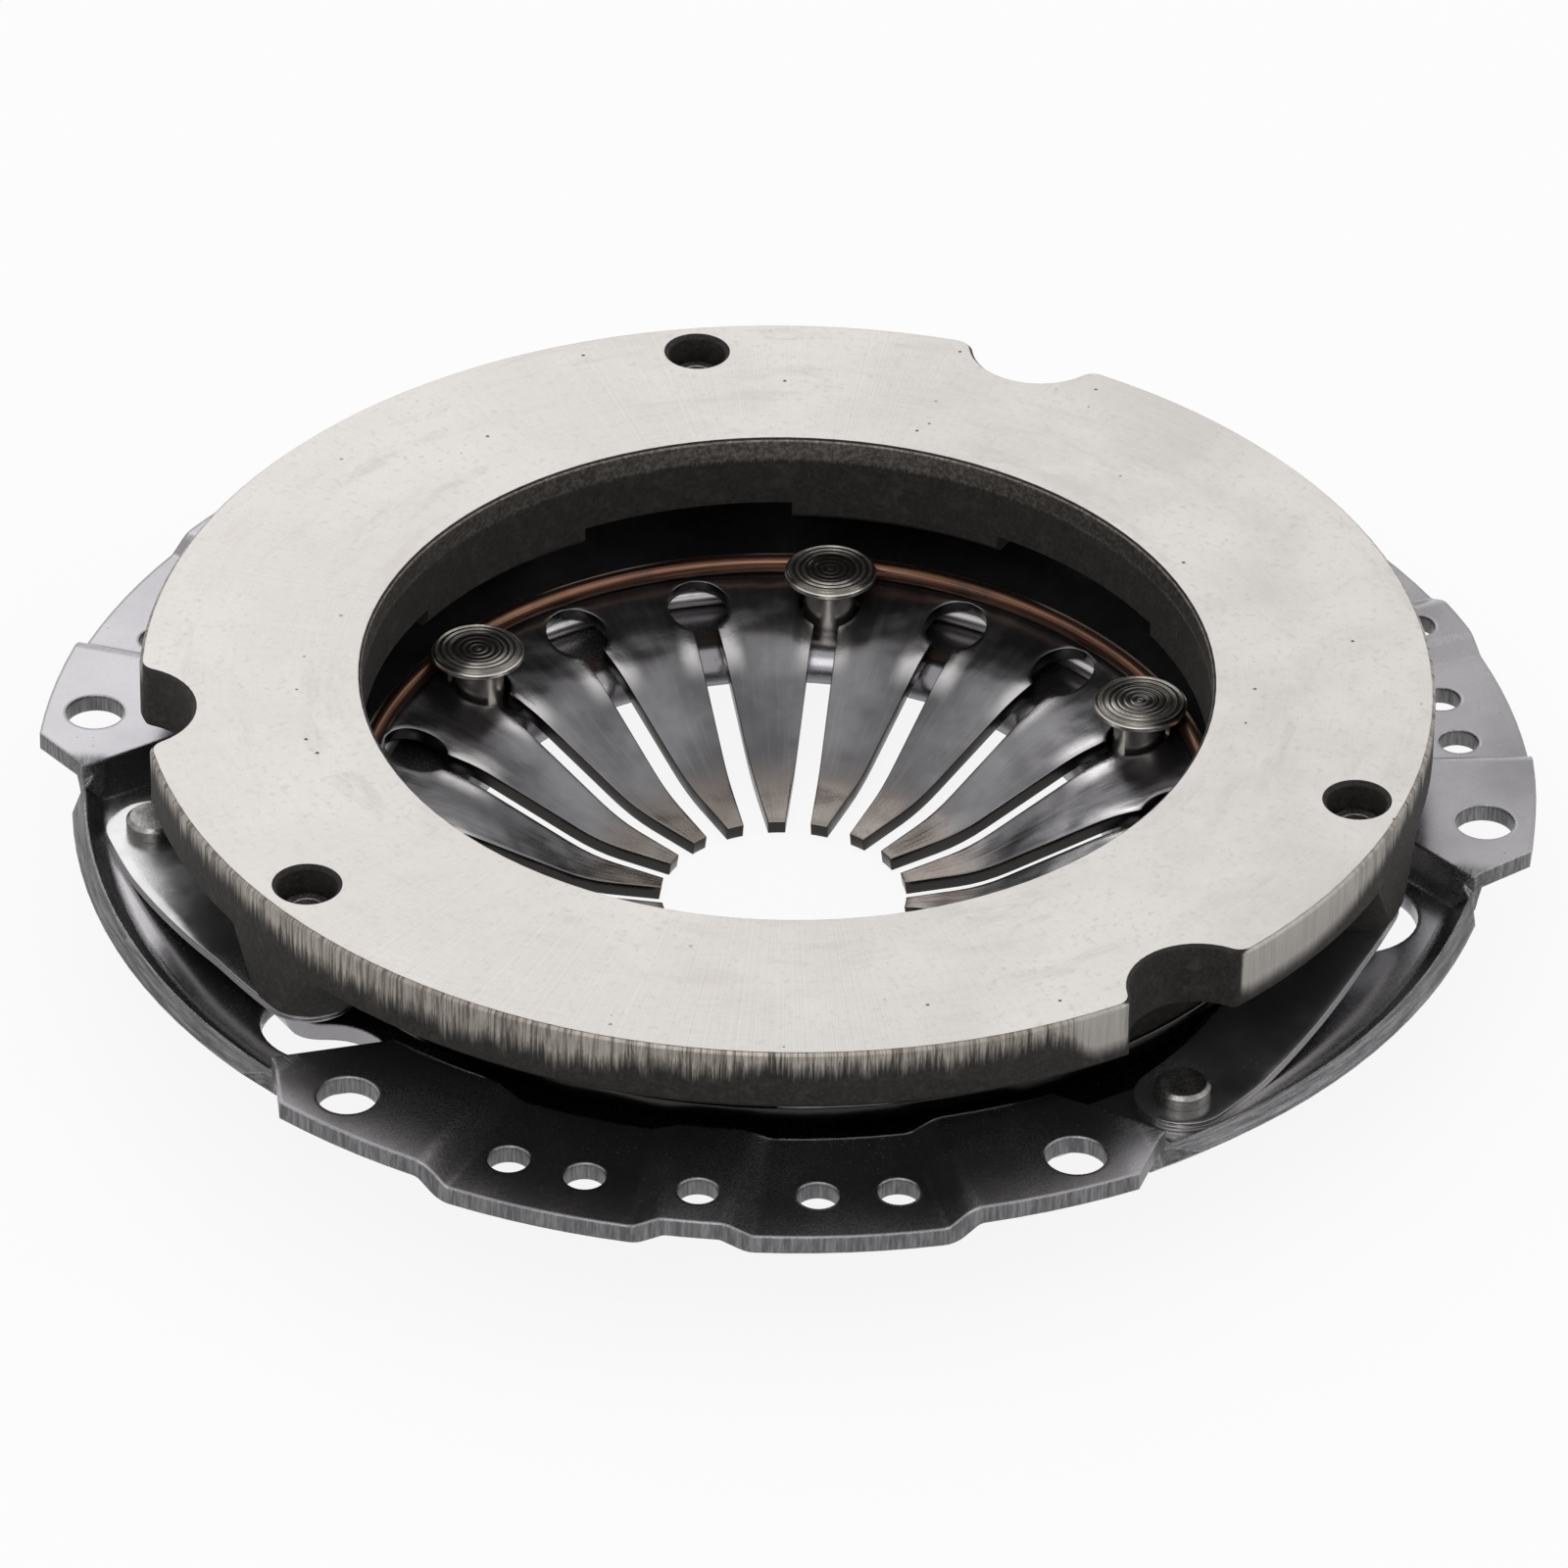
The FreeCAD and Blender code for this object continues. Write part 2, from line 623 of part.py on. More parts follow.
def land_side(crest_run, fall, slope, top, crest_radius, valley_radius):
    """The rounded side of a land in (y, z), from the land below it up to its crest."""
    foot_run = crest_run + fall / tangent(slope)
    return [
        (foot_run + size["land_lap"], top - fall - OVERLAP),
        (foot_run + size["land_lap"], top - fall),
        (foot_run, top - fall, valley_radius),
        (crest_run, top, crest_radius),
    ]


def mirrored(corners):
    return [(-corner[0],) + corner[1:] for corner in corners[::-1]]


def press_form(name, offset):
    """The solid below the inside of the flange sheet, or below its outside when offset."""
    body = new_body(name)
    drop = size["sheet_thickness"] if offset else Size(0.0, "0")
    foot = -size["wall_joint_depth"] - (BEYOND if offset else 0.0)
    pocket = -size["pocket_depth"] - drop
    turned(body, name + "Base", [
        (form_inside, foot), (form_outside, foot), (form_outside, pocket), (form_inside, pocket),
    ])

    slope = size["pocket_rim_angle"]
    rim_start = pocket_floor_rim + (offset_run(slope) if offset else 0.0)
    climb = size["pocket_depth"] - size["pocket_rim_depth"] + size["sheet_thickness"]
    rim = turned(body, name + "Rim", [
        (rim_start, pocket - OVERLAP),
        (form_outside, pocket - OVERLAP),
        (form_outside, pocket + climb),
        (rim_start + climb / tangent(slope), pocket + climb),
        (rim_start, pocket),
    ], sweep=pocket_span + SECTOR_MARGIN, turn=segment_step / 2)

    balance = -size["balance_land_depth"] - drop
    land = turned(body, name + "BalanceLand", [
        (form_inside, pocket - OVERLAP), (form_outside, pocket - OVERLAP),
        (form_outside, balance), (form_inside, balance),
    ], sweep=(size["bolt_angle"] - SECTOR_MARGIN) * 2)

    small = size["fold_radius"]
    large = small + size["sheet_thickness"]
    crest, valley = (small, large) if offset else (large, small)
    slope, top = size["dowel_land_slope"], -size["dowel_land_depth"] - drop
    half = size["dowel_land_half_width"] - (offset_run(slope) if offset else 0.0)
    side = land_side(half, top - balance, slope, top, crest, valley)
    dowel = spoke(body, name + "DowelLand", side + mirrored(side), land_start, land_end)

    slope = size["bolt_land_slope"]
    edge = -offset_run(slope) if offset else Size(0.0, "0")
    side = land_side(edge, -drop - balance, slope, -drop, crest, valley)
    side += [(-size["land_lap"] - OVERLAP, -drop), (-size["land_lap"] - OVERLAP, balance - OVERLAP)]
    fall = size["pocket_depth"] + OVERLAP
    bolts = []
    for sign, word in ((1, "Left"), (-1, "Right")):
        bolts.append(spoke(body, name + "BoltLandSide" + word, mirrored(side) if sign > 0 else side,
                           land_start, land_end, turn=size["bolt_land_angle"] * sign))
        bolts.append(loft(body, name + "BoltLand" + word,
                          -drop - fall, bolt_land(fall, offset, sign),
                          -drop, bolt_land(Size(0.0, "0"), offset, sign),
                          turn=size["bolt_angle"] * sign))
    around(body, name + "Segments", [rim, land, dowel] + bolts, SEGMENTS)

    low = foot - BEYOND
    turned(body, name + "Bowl", [
        (form_inside - BEYOND, low),
        (bowl_wall(-low, offset), low),
        (bowl_wall(-form_top, offset), form_top),
        (form_inside - BEYOND, form_top),
    ], kind="Groove")
    if not offset:
        turned(body, name + "Edge", [
            (flange_rim, low), (form_beyond, low), (form_beyond, form_top), (flange_rim, form_top),
        ], kind="Groove")
    return body


def bowl_profile():
    """Section of the cover's floor, lip and lower wall, with its pressed bends."""
    sheet_t, joint, lip = size["sheet_thickness"], size["wall_joint_depth"], -size["lip_depth"]
    bend, lip_bend = size["bowl_bend_radius"], size["lip_bend_radius"]
    foot, opening = bowl_foot, opening_rim
    wall_shift = offset_run(size["bowl_wall_angle"])
    return [
        (bowl_wall(joint, False), -joint),
        (foot, floor_top, bend),
        (opening, floor_top, lip_bend + sheet_t),
        (opening, lip),
        (opening + sheet_t, lip),
        (opening + sheet_t, floor_under, lip_bend),
        (foot + wall_shift, floor_under, bend + sheet_t),
        (bowl_wall(joint, True), -joint),
    ]


def draw_flange_holes(sketch):
    for k in range(SEGMENTS):
        middle = k * segment_step
        circle(sketch, polar(dowel_circle, middle), size["dowel_hole_radius"])
        for sign in (1, -1):
            for spread in (size["balance_inner_angle"], size["balance_outer_angle"]):
                place = polar(balance_circle, sign * spread + middle)
                circle(sketch, place, size["balance_hole_radius"])
        for side in (-1, 1):
            bolt = polar(bolt_circle, size["bolt_angle"] * side + middle)
            circle(sketch, bolt, size["bolt_hole_radius"])
        strap = polar(strap_circle, size["strap_cover_angle"] + middle)
        circle(sketch, strap, size["strap_rivet_radius"] + size["strap_rivet_fit"])


def draw_spacer_holes(sketch):
    for k in range(SPACER_RIVETS):
        place = polar(spacer_circle, k * 360.0 / SPACER_RIVETS)
        circle(sketch, place, size["spacer_shank_radius"] + size["rivet_fit"])


def draw_windows(sketch):
    for k in range(SEGMENTS):
        place = polar(window_circle, size["window_angle"] + k * segment_step)
        circle(sketch, place, size["window_radius"])


def draw_flange_ends(sketch):
    """Wedges that part the flange from the pockets and trim the ends of the pocket rims."""
    rounding = size["flange_end_rounding"]
    for k in range(SEGMENTS):
        middle = k * segment_step
        for sign in (1, -1):
            corner = polar(pocket_corner_radius, sign * pocket_corner_angle + middle)
            edge = polar(flange_rim, sign * size["flange_end_angle"] + middle)
            stretch = RUN_OUT / distance(corner, edge)
            tail = (edge[0] + (edge[0] - corner[0]) * stretch,
                    edge[1] + (edge[1] - corner[1]) * stretch)
            along = sign * (90.0 - size["pocket_end_angle"] + pocket_corner_angle) + middle
            step = polar(Size(RUN_OUT, text(RUN_OUT)), along)
            outside = (corner[0] + step[0], corner[1] + step[1])
            outline(sketch, [corner + (rounding,), tail, outside][::sign])


def build_cover():
    inside = press_form("FlangeInside", False)
    outside = press_form("FlangeOutside", True)
    flange = doc.addObject("Part::Cut", "FlangeSheet")
    flange.Base = inside
    flange.Tool = outside
    bowl = new_body("BowlSheet")
    turned(bowl, "BowlSection", bowl_profile())
    pressing = doc.addObject("Part::MultiFuse", "Pressing")
    pressing.Shapes = [flange, bowl]
    pressing.Refine = True
    doc.recompute()

    body = new_body("Cover")
    body.BaseFeature = pressing
    deep = form_top + size["lip_depth"] + BEYOND
    cut_down(body, "FlangeHoles", form_top, deep, draw_flange_holes)
    cut_down(body, "SpacerHoles", form_top, deep, draw_spacer_holes)
    cut_down(body, "LugWindows", form_top, deep, draw_windows)
    cut_down(body, "FlangeEnds", form_top, deep, draw_flange_ends)
    rim_top = -size["pocket_rim_depth"]
    rim_run = (size["pocket_depth"] - size["pocket_rim_depth"]) / tangent(size["pocket_rim_angle"])
    rim_radius = pocket_floor_rim + rim_run
    fall = (form_outside - rim_radius) / tangent(size["pocket_rim_angle"])
    rim = turned(body, "PocketRim", [
        (rim_radius, rim_top),
        (form_outside, rim_top - fall),
        (form_outside, form_top),
        (rim_radius - BEYOND, form_top),
        (rim_radius - BEYOND, rim_top + BEYOND),
    ], kind="Groove", sweep=pocket_span, turn=segment_step / 2)
    around(body, "PocketRims", [rim], SEGMENTS)
    finish(body, "cover")


# Diaphragm spring and fulcrum rings

def spring_side(under):
    """Bend points of one face of the spring, from its tip to its outside."""
    bend, knee, tip = finger_bend, finger_knee, size["spring_tip_radius"]
    cone, slope, end = size["spring_cone_angle"], size["finger_slope_angle"], size["finger_end_angle"]
    thick = size["spring_thickness"] if under else Size(0.0, "0")
    bend_height = spring_height(bend)
    knee_height = bend_height - (bend - knee) * tangent(slope)
    tip_height = knee_height - (knee - tip) * tangent(end)
    rounding = size["finger_bend_rounding"]

    def fold(radius, height, first, second):
        """The fold between two slopes, moved square to them by the thickness."""
        mean, spread = (first + second) / 2, (first - second) / 2
        push = thick / cosine(spread)
        return radius + push * sine(mean), height - push * cosine(mean), rounding

    return [
        (tip, tip_height - thick / cosine(end)),
        fold(knee, knee_height, slope, end),
        fold(bend, bend_height, cone, slope),
        (spring_rim, spring_height(spring_rim, under)),
    ]


def build_spring():
    body = new_body("DiaphragmSpring")
    turned(body, "SpringCone", spring_side(True) + spring_side(False)[::-1])

    def keyhole(sketch):
        circle(sketch, (spacer_circle, 0.0), size["keyhole_radius"])

    def slot(sketch):
        half = size["finger_slot_width"] / 2
        outline(sketch, [
            (size["spring_tip_radius"] / 2, -half),
            (spacer_circle, -half),
            (spacer_circle, half),
            (size["spring_tip_radius"] / 2, half),
        ])

    deep = form_top - spring_side(True)[0][1] + BEYOND
    hole = cut_down(body, "Keyhole", form_top, deep, keyhole)
    gap = cut_down(body, "FingerSlot", form_top, deep, slot)
    around(body, "Fingers", [hole, gap], FINGERS)
    finish(body, "diaphragm_spring")


def build_fulcrum_rings():
    rings = (("fulcrum_ring_upper", upper_ring_height), ("fulcrum_ring_lower", lower_ring_height))
    for node, height in rings:
        ring = doc.addObject("Part::Torus", node.title().replace("_", ""))
        ring.Radius1 = number(ring_radius)
        ring.Radius2 = number(size["wire_radius"])
        bind(ring, "Radius1", ring_radius)
        bind(ring, "Radius2", size["wire_radius"])
        finish(ring, node, place=(0.0, 0.0, height))


# Spacer rivets

def spacer_profile():
    """Half section with its origin at the underside of the head."""
    head, bevel = size["spacer_head_radius"], size["spacer_head_bevel"]
    thick = size["spacer_head_thickness"]
    shoulder_end = floor_top - head_under
    shank_end = floor_under - head_under
    groove, width = size["spacer_groove_depth"], size["spacer_groove_width"]
    corners = [(0.0, thick)]
    for k in range(HEAD_GROOVES):
        start = size["spacer_groove_radius"] + size["spacer_groove_pitch"] * k - width / 2
        corners += [
            (start, thick), (start, thick - groove),
            (start + width, thick - groove), (start + width, thick),
        ]
    corners += [
        (head - bevel, thick),
        (head, thick - bevel),
        (head, bevel),
        (head - bevel, 0.0),
        (size["spacer_shoulder_radius"], 0.0),
        (size["spacer_shoulder_radius"], shoulder_end),
        (size["spacer_shank_radius"], shoulder_end),
        (size["spacer_shank_radius"], shank_end),
        (size["spacer_closing_radius"], shank_end),
        (size["spacer_closing_radius"] - size["spacer_closing_taper"],
         shank_end - size["spacer_closing_height"]),
        (0.0, shank_end - size["spacer_closing_height"]),
    ]
    return corners[::-1]


def build_spacer_rivets():
    for k in range(SPACER_RIVETS):
        body = new_body("SpacerRivet%d" % (k + 1))
        turned(body, "SpacerRivetTurning%d" % (k + 1), spacer_profile())
        x, y = polar(spacer_circle, k * 360.0 / SPACER_RIVETS)
        finish(body, "spacer_rivet_%d" % (k + 1), place=(x, y, head_under))


# Drive straps

def strap_ends(segment):
    turn = segment * segment_step
    cover_end = polar(strap_circle, size["strap_cover_angle"] + turn)
    lug_end = polar(lug_circle, size["lug_angle"] + turn)
    return cover_end, lug_end


def strap_section(reach):
    """Side view of a leaf along its length, flat at both rivets and bent between them."""
    thick, flat = size["strap_leaf_thickness"], size["strap_flat_length"]
    lug_bend = reach - size["strap_lug_flat_length"]
    end, rise, bend = size["strap_half_width"] + BEYOND, size["strap_rise"], size["strap_bend_radius"]
    return [
        (-end, 0.0),
        (flat, 0.0, bend + thick),
        (lug_bend, rise, bend),
        (reach + end, rise),
        (reach + end, rise + thick),
        (lug_bend, rise + thick, bend + thick),
        (flat, thick, bend),
        (-end, thick),
    ]


def draw_leaf_trim(sketch, reach):
    """A frame whose inside is the bowed leaf with its round ends and two rivet holes."""
    margin = size["strap_half_width"] + size["strap_bow"] + BEYOND * 2
    outline(sketch, [
        (-margin, -margin), (reach + margin, -margin), (reach + margin, margin), (-margin, margin),
    ])
    half, bow = size["strap_half_width"], size["strap_bow"]
    centre_run = reach * reach / (bow * 8) + bow / 2
    middle = (reach / 2, centre_run - bow)
    up = FreeCAD.Vector(0, 0, 1)
    centre = FreeCAD.Vector(middle[0].value, middle[1].value, 0)
    lean = math.asin(reach.value / 2 / centre_run.value)
    outward = -math.pi / 2
    sides = []
    for radius in (centre_run + half, centre_run - half):
        ring = Part.Circle(centre, up, radius.value)
        side = sketch.addGeometry(Part.ArcOfCircle(ring, outward - lean, outward + lean), False)
        fix_point(sketch, side, 3, *middle)
        fix_radius(sketch, side, radius)
        spread = reach / 2 * radius / centre_run
        for end, x in ((1, reach / 2 - spread), (2, reach / 2 + spread)):
            index = sketch.addConstraint(Sketcher.Constraint("DistanceX", -1, 1, side, end, number(x)))
            bind(sketch, "Constraints[%d]" % index, x)
        sides.append(side)
    for x, side_end, turn in ((0.0, 1, -outward - lean), (reach, 2, outward + lean)):
        ring = Part.Circle(FreeCAD.Vector(number(x), 0, 0), up, half.value)
        cap = sketch.addGeometry(Part.ArcOfCircle(ring, turn, turn + math.pi), False)
        outer_end = 3 - side_end
        sketch.addConstraint(Sketcher.Constraint("Coincident", cap, outer_end, sides[0], side_end))
        sketch.addConstraint(Sketcher.Constraint("Coincident", cap, 3 - outer_end, sides[1], side_end))
        index = sketch.addConstraint(Sketcher.Constraint("DistanceX", -1, 1, cap, 3, number(x)))
        bind(sketch, "Constraints[%d]" % index, x)
    for x in (0.0, reach):
        circle(sketch, (x, 0.0), size["strap_rivet_radius"] + size["strap_rivet_fit"])


def build_straps():
    for k in range(SEGMENTS):
        cover_end, lug_end = strap_ends(k)
        reach = distance(cover_end, lug_end)
        direction = heading(cover_end, lug_end)
        for layer, name in enumerate(STRAP_LEAVES):
            label = "drive_strap_%d_%s" % (k + 1, name)
            body = new_body("DriveStrap%d%s" % (k + 1, name.title()))
            sketch = new_sketch(body, "LeafSection%d%s" % (k + 1, name.title()), "XZ_Plane")
            outline(sketch, strap_section(reach))
            pad = body.newObject("PartDesign::Pad", "Leaf%d%s" % (k + 1, name.title()))
            pad.Profile = sketch
            pad.Midplane = True
            width = (size["strap_half_width"] + size["strap_bow"] + BEYOND) * 2
            pad.Length = number(width)
            bind(pad, "Length", width)
            top = size["strap_rise"] + size["strap_leaf_thickness"] + BEYOND
            cut_down(body, "LeafTrim%d%s" % (k + 1, name.title()), top, top + BEYOND,
                     lambda s: draw_leaf_trim(s, reach))
            height = strap_seat + size["strap_leaf_thickness"] * layer
            finish(body, label, place=(cover_end[0], cover_end[1], height), turn=direction)


# Strap rivets

def cover_rivet_profile():
    """Half section with its origin on top of the straps."""
    head, bevel, high = size["strap_head_radius"], size["strap_head_bevel"], size["strap_head_height"]
    shank = size["strap_rivet_radius"]
    under = -strap_stack - size["sheet_thickness"]
    closing = size["strap_closing_radius"]
    return [
        (0.0, under - size["strap_closing_height"]),
        (closing - bevel, under - size["strap_closing_height"]),
        (closing, under),
        (shank, under),
        (shank, 0.0),
        (head, 0.0),
        (head, high - bevel),
        (head - bevel, high),
        (0.0, high),
    ]


def lug_rivet_profile():
    """Half section with its origin under the straps."""
    head, bevel, high = size["strap_head_radius"], size["strap_head_bevel"], size["strap_head_height"]
    shank = size["strap_rivet_radius"]
    seat = face - size["access_bore_depth"] - lug_strap_under
    top = seat + size["lug_closing_height"]
    return [
        (0.0, -high),
        (head - bevel, -high),
        (head, -high + bevel),
        (head, 0.0),
        (shank, 0.0),
        (shank, seat),
        (size["lug_closing_radius"], seat),
        (size["lug_closing_radius"] - bevel / 2, top),
        (size["lug_hollow_radius"], top),
        (size["lug_hollow_radius"] - size["lug_hollow_taper"], top - size["lug_hollow_depth"]),
        (0.0, top - size["lug_hollow_depth"]),
    ]


def build_strap_rivets():
    for k in range(SEGMENTS):
        cover_end, lug_end = strap_ends(k)
        body = new_body("CoverStrapRivet%d" % (k + 1))
        turned(body, "CoverRivetTurning%d" % (k + 1), cover_rivet_profile())
        finish(body, "cover_strap_rivet_%d" % (k + 1), place=cover_end + (strap_seat + strap_stack,))
        body = new_body("PlateStrapRivet%d" % (k + 1))
        turned(body, "PlateRivetTurning%d" % (k + 1), lug_rivet_profile())
        finish(body, "plate_strap_rivet_%d" % (k + 1), place=lug_end + (lug_strap_under,))


# Build, test and write

def check_document():
    faults = []
    for item in doc.Objects:
        if "Invalid" in item.State or "Error" in item.State:
            faults.append("%s: %s" % (item.Name, item.State))
    for item in NODES:
        if item.Shape.isNull() or not item.Shape.isValid() or not item.Shape.Solids:
            faults.append("%s has no sound shape" % item.Label)
    if faults:
        raise RuntimeError("; ".join(faults))


def export_nodes():
    os.makedirs("parts", exist_ok=True)
    for item in NODES:
        item.Shape.exportStep("parts/%s.step" % item.Label)


build_pressure_plate()
build_cover()
build_spring()
build_fulcrum_rings()
build_spacer_rivets()
build_straps()
build_strap_rivets()
doc.recompute()
check_document()
export_nodes()
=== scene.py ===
import math

import bmesh
import bpy
from mathutils import Matrix, Vector


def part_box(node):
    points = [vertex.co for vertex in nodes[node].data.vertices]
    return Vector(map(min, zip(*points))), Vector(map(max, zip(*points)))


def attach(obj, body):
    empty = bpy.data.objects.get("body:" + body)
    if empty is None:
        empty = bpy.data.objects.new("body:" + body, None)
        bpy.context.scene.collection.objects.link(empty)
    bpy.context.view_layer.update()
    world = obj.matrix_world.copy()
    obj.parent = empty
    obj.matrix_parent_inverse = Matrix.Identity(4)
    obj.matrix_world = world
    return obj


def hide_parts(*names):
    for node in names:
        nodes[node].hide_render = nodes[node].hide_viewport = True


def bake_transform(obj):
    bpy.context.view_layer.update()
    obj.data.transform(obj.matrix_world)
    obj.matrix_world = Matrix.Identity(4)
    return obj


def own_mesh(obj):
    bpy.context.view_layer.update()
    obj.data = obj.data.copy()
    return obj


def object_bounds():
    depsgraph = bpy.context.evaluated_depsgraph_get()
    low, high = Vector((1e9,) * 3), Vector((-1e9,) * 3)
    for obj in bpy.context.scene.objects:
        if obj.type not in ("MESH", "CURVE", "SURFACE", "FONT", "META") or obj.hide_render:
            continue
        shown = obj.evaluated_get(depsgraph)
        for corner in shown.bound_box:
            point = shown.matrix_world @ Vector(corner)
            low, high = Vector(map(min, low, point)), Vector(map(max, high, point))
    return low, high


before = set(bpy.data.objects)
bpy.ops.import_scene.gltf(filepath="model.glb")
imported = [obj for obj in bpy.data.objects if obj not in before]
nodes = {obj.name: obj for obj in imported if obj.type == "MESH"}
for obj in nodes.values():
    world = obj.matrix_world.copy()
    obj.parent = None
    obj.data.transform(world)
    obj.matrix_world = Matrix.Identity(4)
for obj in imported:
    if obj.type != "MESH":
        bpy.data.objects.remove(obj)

# Clutch pressure plate, in metres, Z along the clutch axis, bolt lands at Z = 0.

cad_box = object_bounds()
scene = bpy.context.scene
MM = 0.001

# Places and counts that the materials need, lengths in millimetres

FACE_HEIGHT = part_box("pressure_plate")[1].z / MM
RIM_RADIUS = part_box("pressure_plate")[1].x / MM
BORE_RADIUS = 63.7
FLANGE_FOOT_RADIUS = 98.5
KEYHOLE_CIRCLE_RADIUS = 59.0
SPACER_RIVETS = 6
SEGMENTS = 3
POCKET_ANGLE = math.radians(35.5)
POCKET_ANGLE_FADE = 0.03
POCKET_RIM_RADIUS = 101.5
POCKET_RIM_FADE = 1.5
HEAD_RINGS_PER_MM = 1.0
ROUNDING_SAMPLES = 6

# Diaphragm spring, in millimetres, through the middle of its sheet

SPRING_THICKNESS = 2.3
FINGERS = 18
SLOT_HALF_WIDTH = 1.95
KEYHOLE_RADIUS = 4.85
CONE_ANGLE = math.radians(15.0)
SLOPE_ANGLE = math.radians(26.5)
TIP_ANGLE = math.radians(8.5)
FULCRUM_RADIUS = 64.7
FULCRUM_HEIGHT = -8.905
TIP_RADIUS = 18.77
KNEE_RADIUS = 30.35
BEND_RADIUS = 49.91
SPRING_RIM_RADIUS = 82.7
BEND_ROUNDING = 24.0  # rounder than in the solids, as the photograph shows it
SPRING_EDGE = 0.25
BEND_SHARES = (-0.5, 0.0, 0.5, 1.0)
TIP_STEPS = 5
SLOPE_STEPS = 7
KEYHOLE_STEPS = 16
CONE_STEPS = 8
FINGER_COLUMNS = 12
ROWS_BEFORE_KEYHOLE = (53.1, 53.9)  # between the outer bend's end and the keyhole

# Drive straps, in millimetres

STRAP_FLAT_LENGTH = 9.5
STRAP_LUG_FLAT_LENGTH = 12.5
STRAP_THICKNESS = 0.7
STRAP_HALF_WIDTH = 7.1
STRAP_BOW = 2.2
STRAP_RISE = 3.5
STRAP_BEND_REACH = 1.6
STRAP_STEPS = 36
STRAP_CAP_STEPS = 8
STRAP_COLUMNS = 8
STRAP_EDGE = 0.1
CAP_TIP_SHARE = 0.02  # half width left at the end of a round cap

# Thickness and edges of the sheets

EDGE_SEGMENTS = 2
EDGE_ANGLE = math.radians(50)
MERGE_DISTANCE = 1e-6


# Shader helper

class Shader:
    """A material's node tree with short calls for the nodes used here."""

    def __init__(self, name):
        self.material = bpy.data.materials.new(name)
        self.material.use_nodes = True
        self.tree = self.material.node_tree
        self.tree.nodes.clear()
        self.output = self.add("ShaderNodeOutputMaterial")
        self.coordinates = self.add("ShaderNodeTexCoord").outputs["Object"]
        self.geometry = self.add("ShaderNodeNewGeometry")

    def add(self, kind, **settings):
        node = self.tree.nodes.new(kind)
        for key, value in settings.items():
            setattr(node, key, value)
        return node

    def put(self, socket, value):
        if isinstance(value, bpy.types.NodeSocket):
            self.tree.links.new(value, socket)
        elif value is not None:
            socket.default_value = value

    def math(self, operation, first, second=None):
        node = self.add("ShaderNodeMath", operation=operation)
        for socket, value in zip(node.inputs, (first, second)):
            self.put(socket, value)
        return node.outputs[0]

    def times(self, first, second):
        return self.math("MULTIPLY", first, second)

    def plus(self, first, second):
        return self.math("ADD", first, second)

    def minus(self, first, second):
        return self.math("SUBTRACT", first, second)

    def vector_math(self, operation, first, second=None, scale=None):
        node = self.add("ShaderNodeVectorMath", operation=operation)
        self.put(node.inputs[0], first)
        self.put(node.inputs[1], second)
        if scale is not None:
            self.put(node.inputs["Scale"], scale)
        return node.outputs["Value" if operation == "DOT_PRODUCT" else "Vector"]

    def split(self, vector):
        return self.add_linked("ShaderNodeSeparateXYZ", vector).outputs

    def add_linked(self, kind, *inputs):
        node = self.add(kind)
        for socket, value in zip(node.inputs, inputs):
            self.put(socket, value)
        return node

    def join(self, x, y, z):
        return self.add_linked("ShaderNodeCombineXYZ", x, y, z).outputs[0]

    def range(self, value, low, high, to_low=0.0, to_high=1.0):
        node = self.add("ShaderNodeMapRange", interpolation_type="SMOOTHSTEP")
        self.put(node.inputs["Value"], value)
        limits = {"From Min": low, "From Max": high, "To Min": to_low, "To Max": to_high}
        for name, number in limits.items():
            self.put(node.inputs[name], number)
        return node.outputs[0]

    def noise(self, vector, scale, detail=4.0, roughness=0.55):
        node = self.add("ShaderNodeTexNoise")
        self.put(node.inputs["Vector"], vector)
        self.put(node.inputs["Scale"], scale)
        self.put(node.inputs["Detail"], detail)
        self.put(node.inputs["Roughness"], roughness)
        return node.outputs["Fac"]

    def spots(self, vector, scale):
        node = self.add("ShaderNodeTexVoronoi", feature="F1")
        self.put(node.inputs["Vector"], vector)
        self.put(node.inputs["Scale"], scale)
        return node.outputs["Distance"]

    def mix(self, factor, first, second):
        """Mix two colours, which are inputs 6 and 7 of the node."""
        node = self.add("ShaderNodeMix", data_type="RGBA")
        self.put(node.inputs["Factor"], factor)
        self.put(node.inputs[6], first)
        self.put(node.inputs[7], second)
        return node.outputs[2]

    def blend(self, factor, first, second):
        """Mix two numbers, which are inputs 2 and 3 of the node."""
        node = self.add("ShaderNodeMix", data_type="FLOAT")
        self.put(node.inputs["Factor"], factor)
        self.put(node.inputs[2], first)
        self.put(node.inputs[3], second)
        return node.outputs[0]

    def bump(self, height, strength, distance, normal=None):
        node = self.add("ShaderNodeBump")
        self.put(node.inputs["Height"], height)
        self.put(node.inputs["Strength"], strength)
        self.put(node.inputs["Distance"], distance)
        self.put(node.inputs["Normal"], normal)
        return node.outputs[0]

    def rounded(self, radius):
        node = self.add("ShaderNodeBevel", samples=ROUNDING_SAMPLES)
        node.inputs["Radius"].default_value = radius
        return node.outputs[0]

    def edges(self, radius):
        """1 on sharp edges, 0 on flat stretches."""
        turn = self.vector_math("DOT_PRODUCT", self.rounded(radius), self.geometry.outputs["Normal"])
        return self.range(turn, 0.995, 0.9)

    def millimetres(self):
        return self.vector_math("SCALE", self.coordinates, scale=1.0 / MM)

    def surface(self, colour, metal, rough, normal):
        shader = self.add("ShaderNodeBsdfPrincipled")
        self.put(shader.inputs["Base Color"], colour)
        self.put(shader.inputs["Metallic"], metal)
        self.put(shader.inputs["Roughness"], rough)
        self.put(shader.inputs["Normal"], normal)
        self.tree.links.new(shader.outputs[0], self.output.inputs["Surface"])
        return self.material


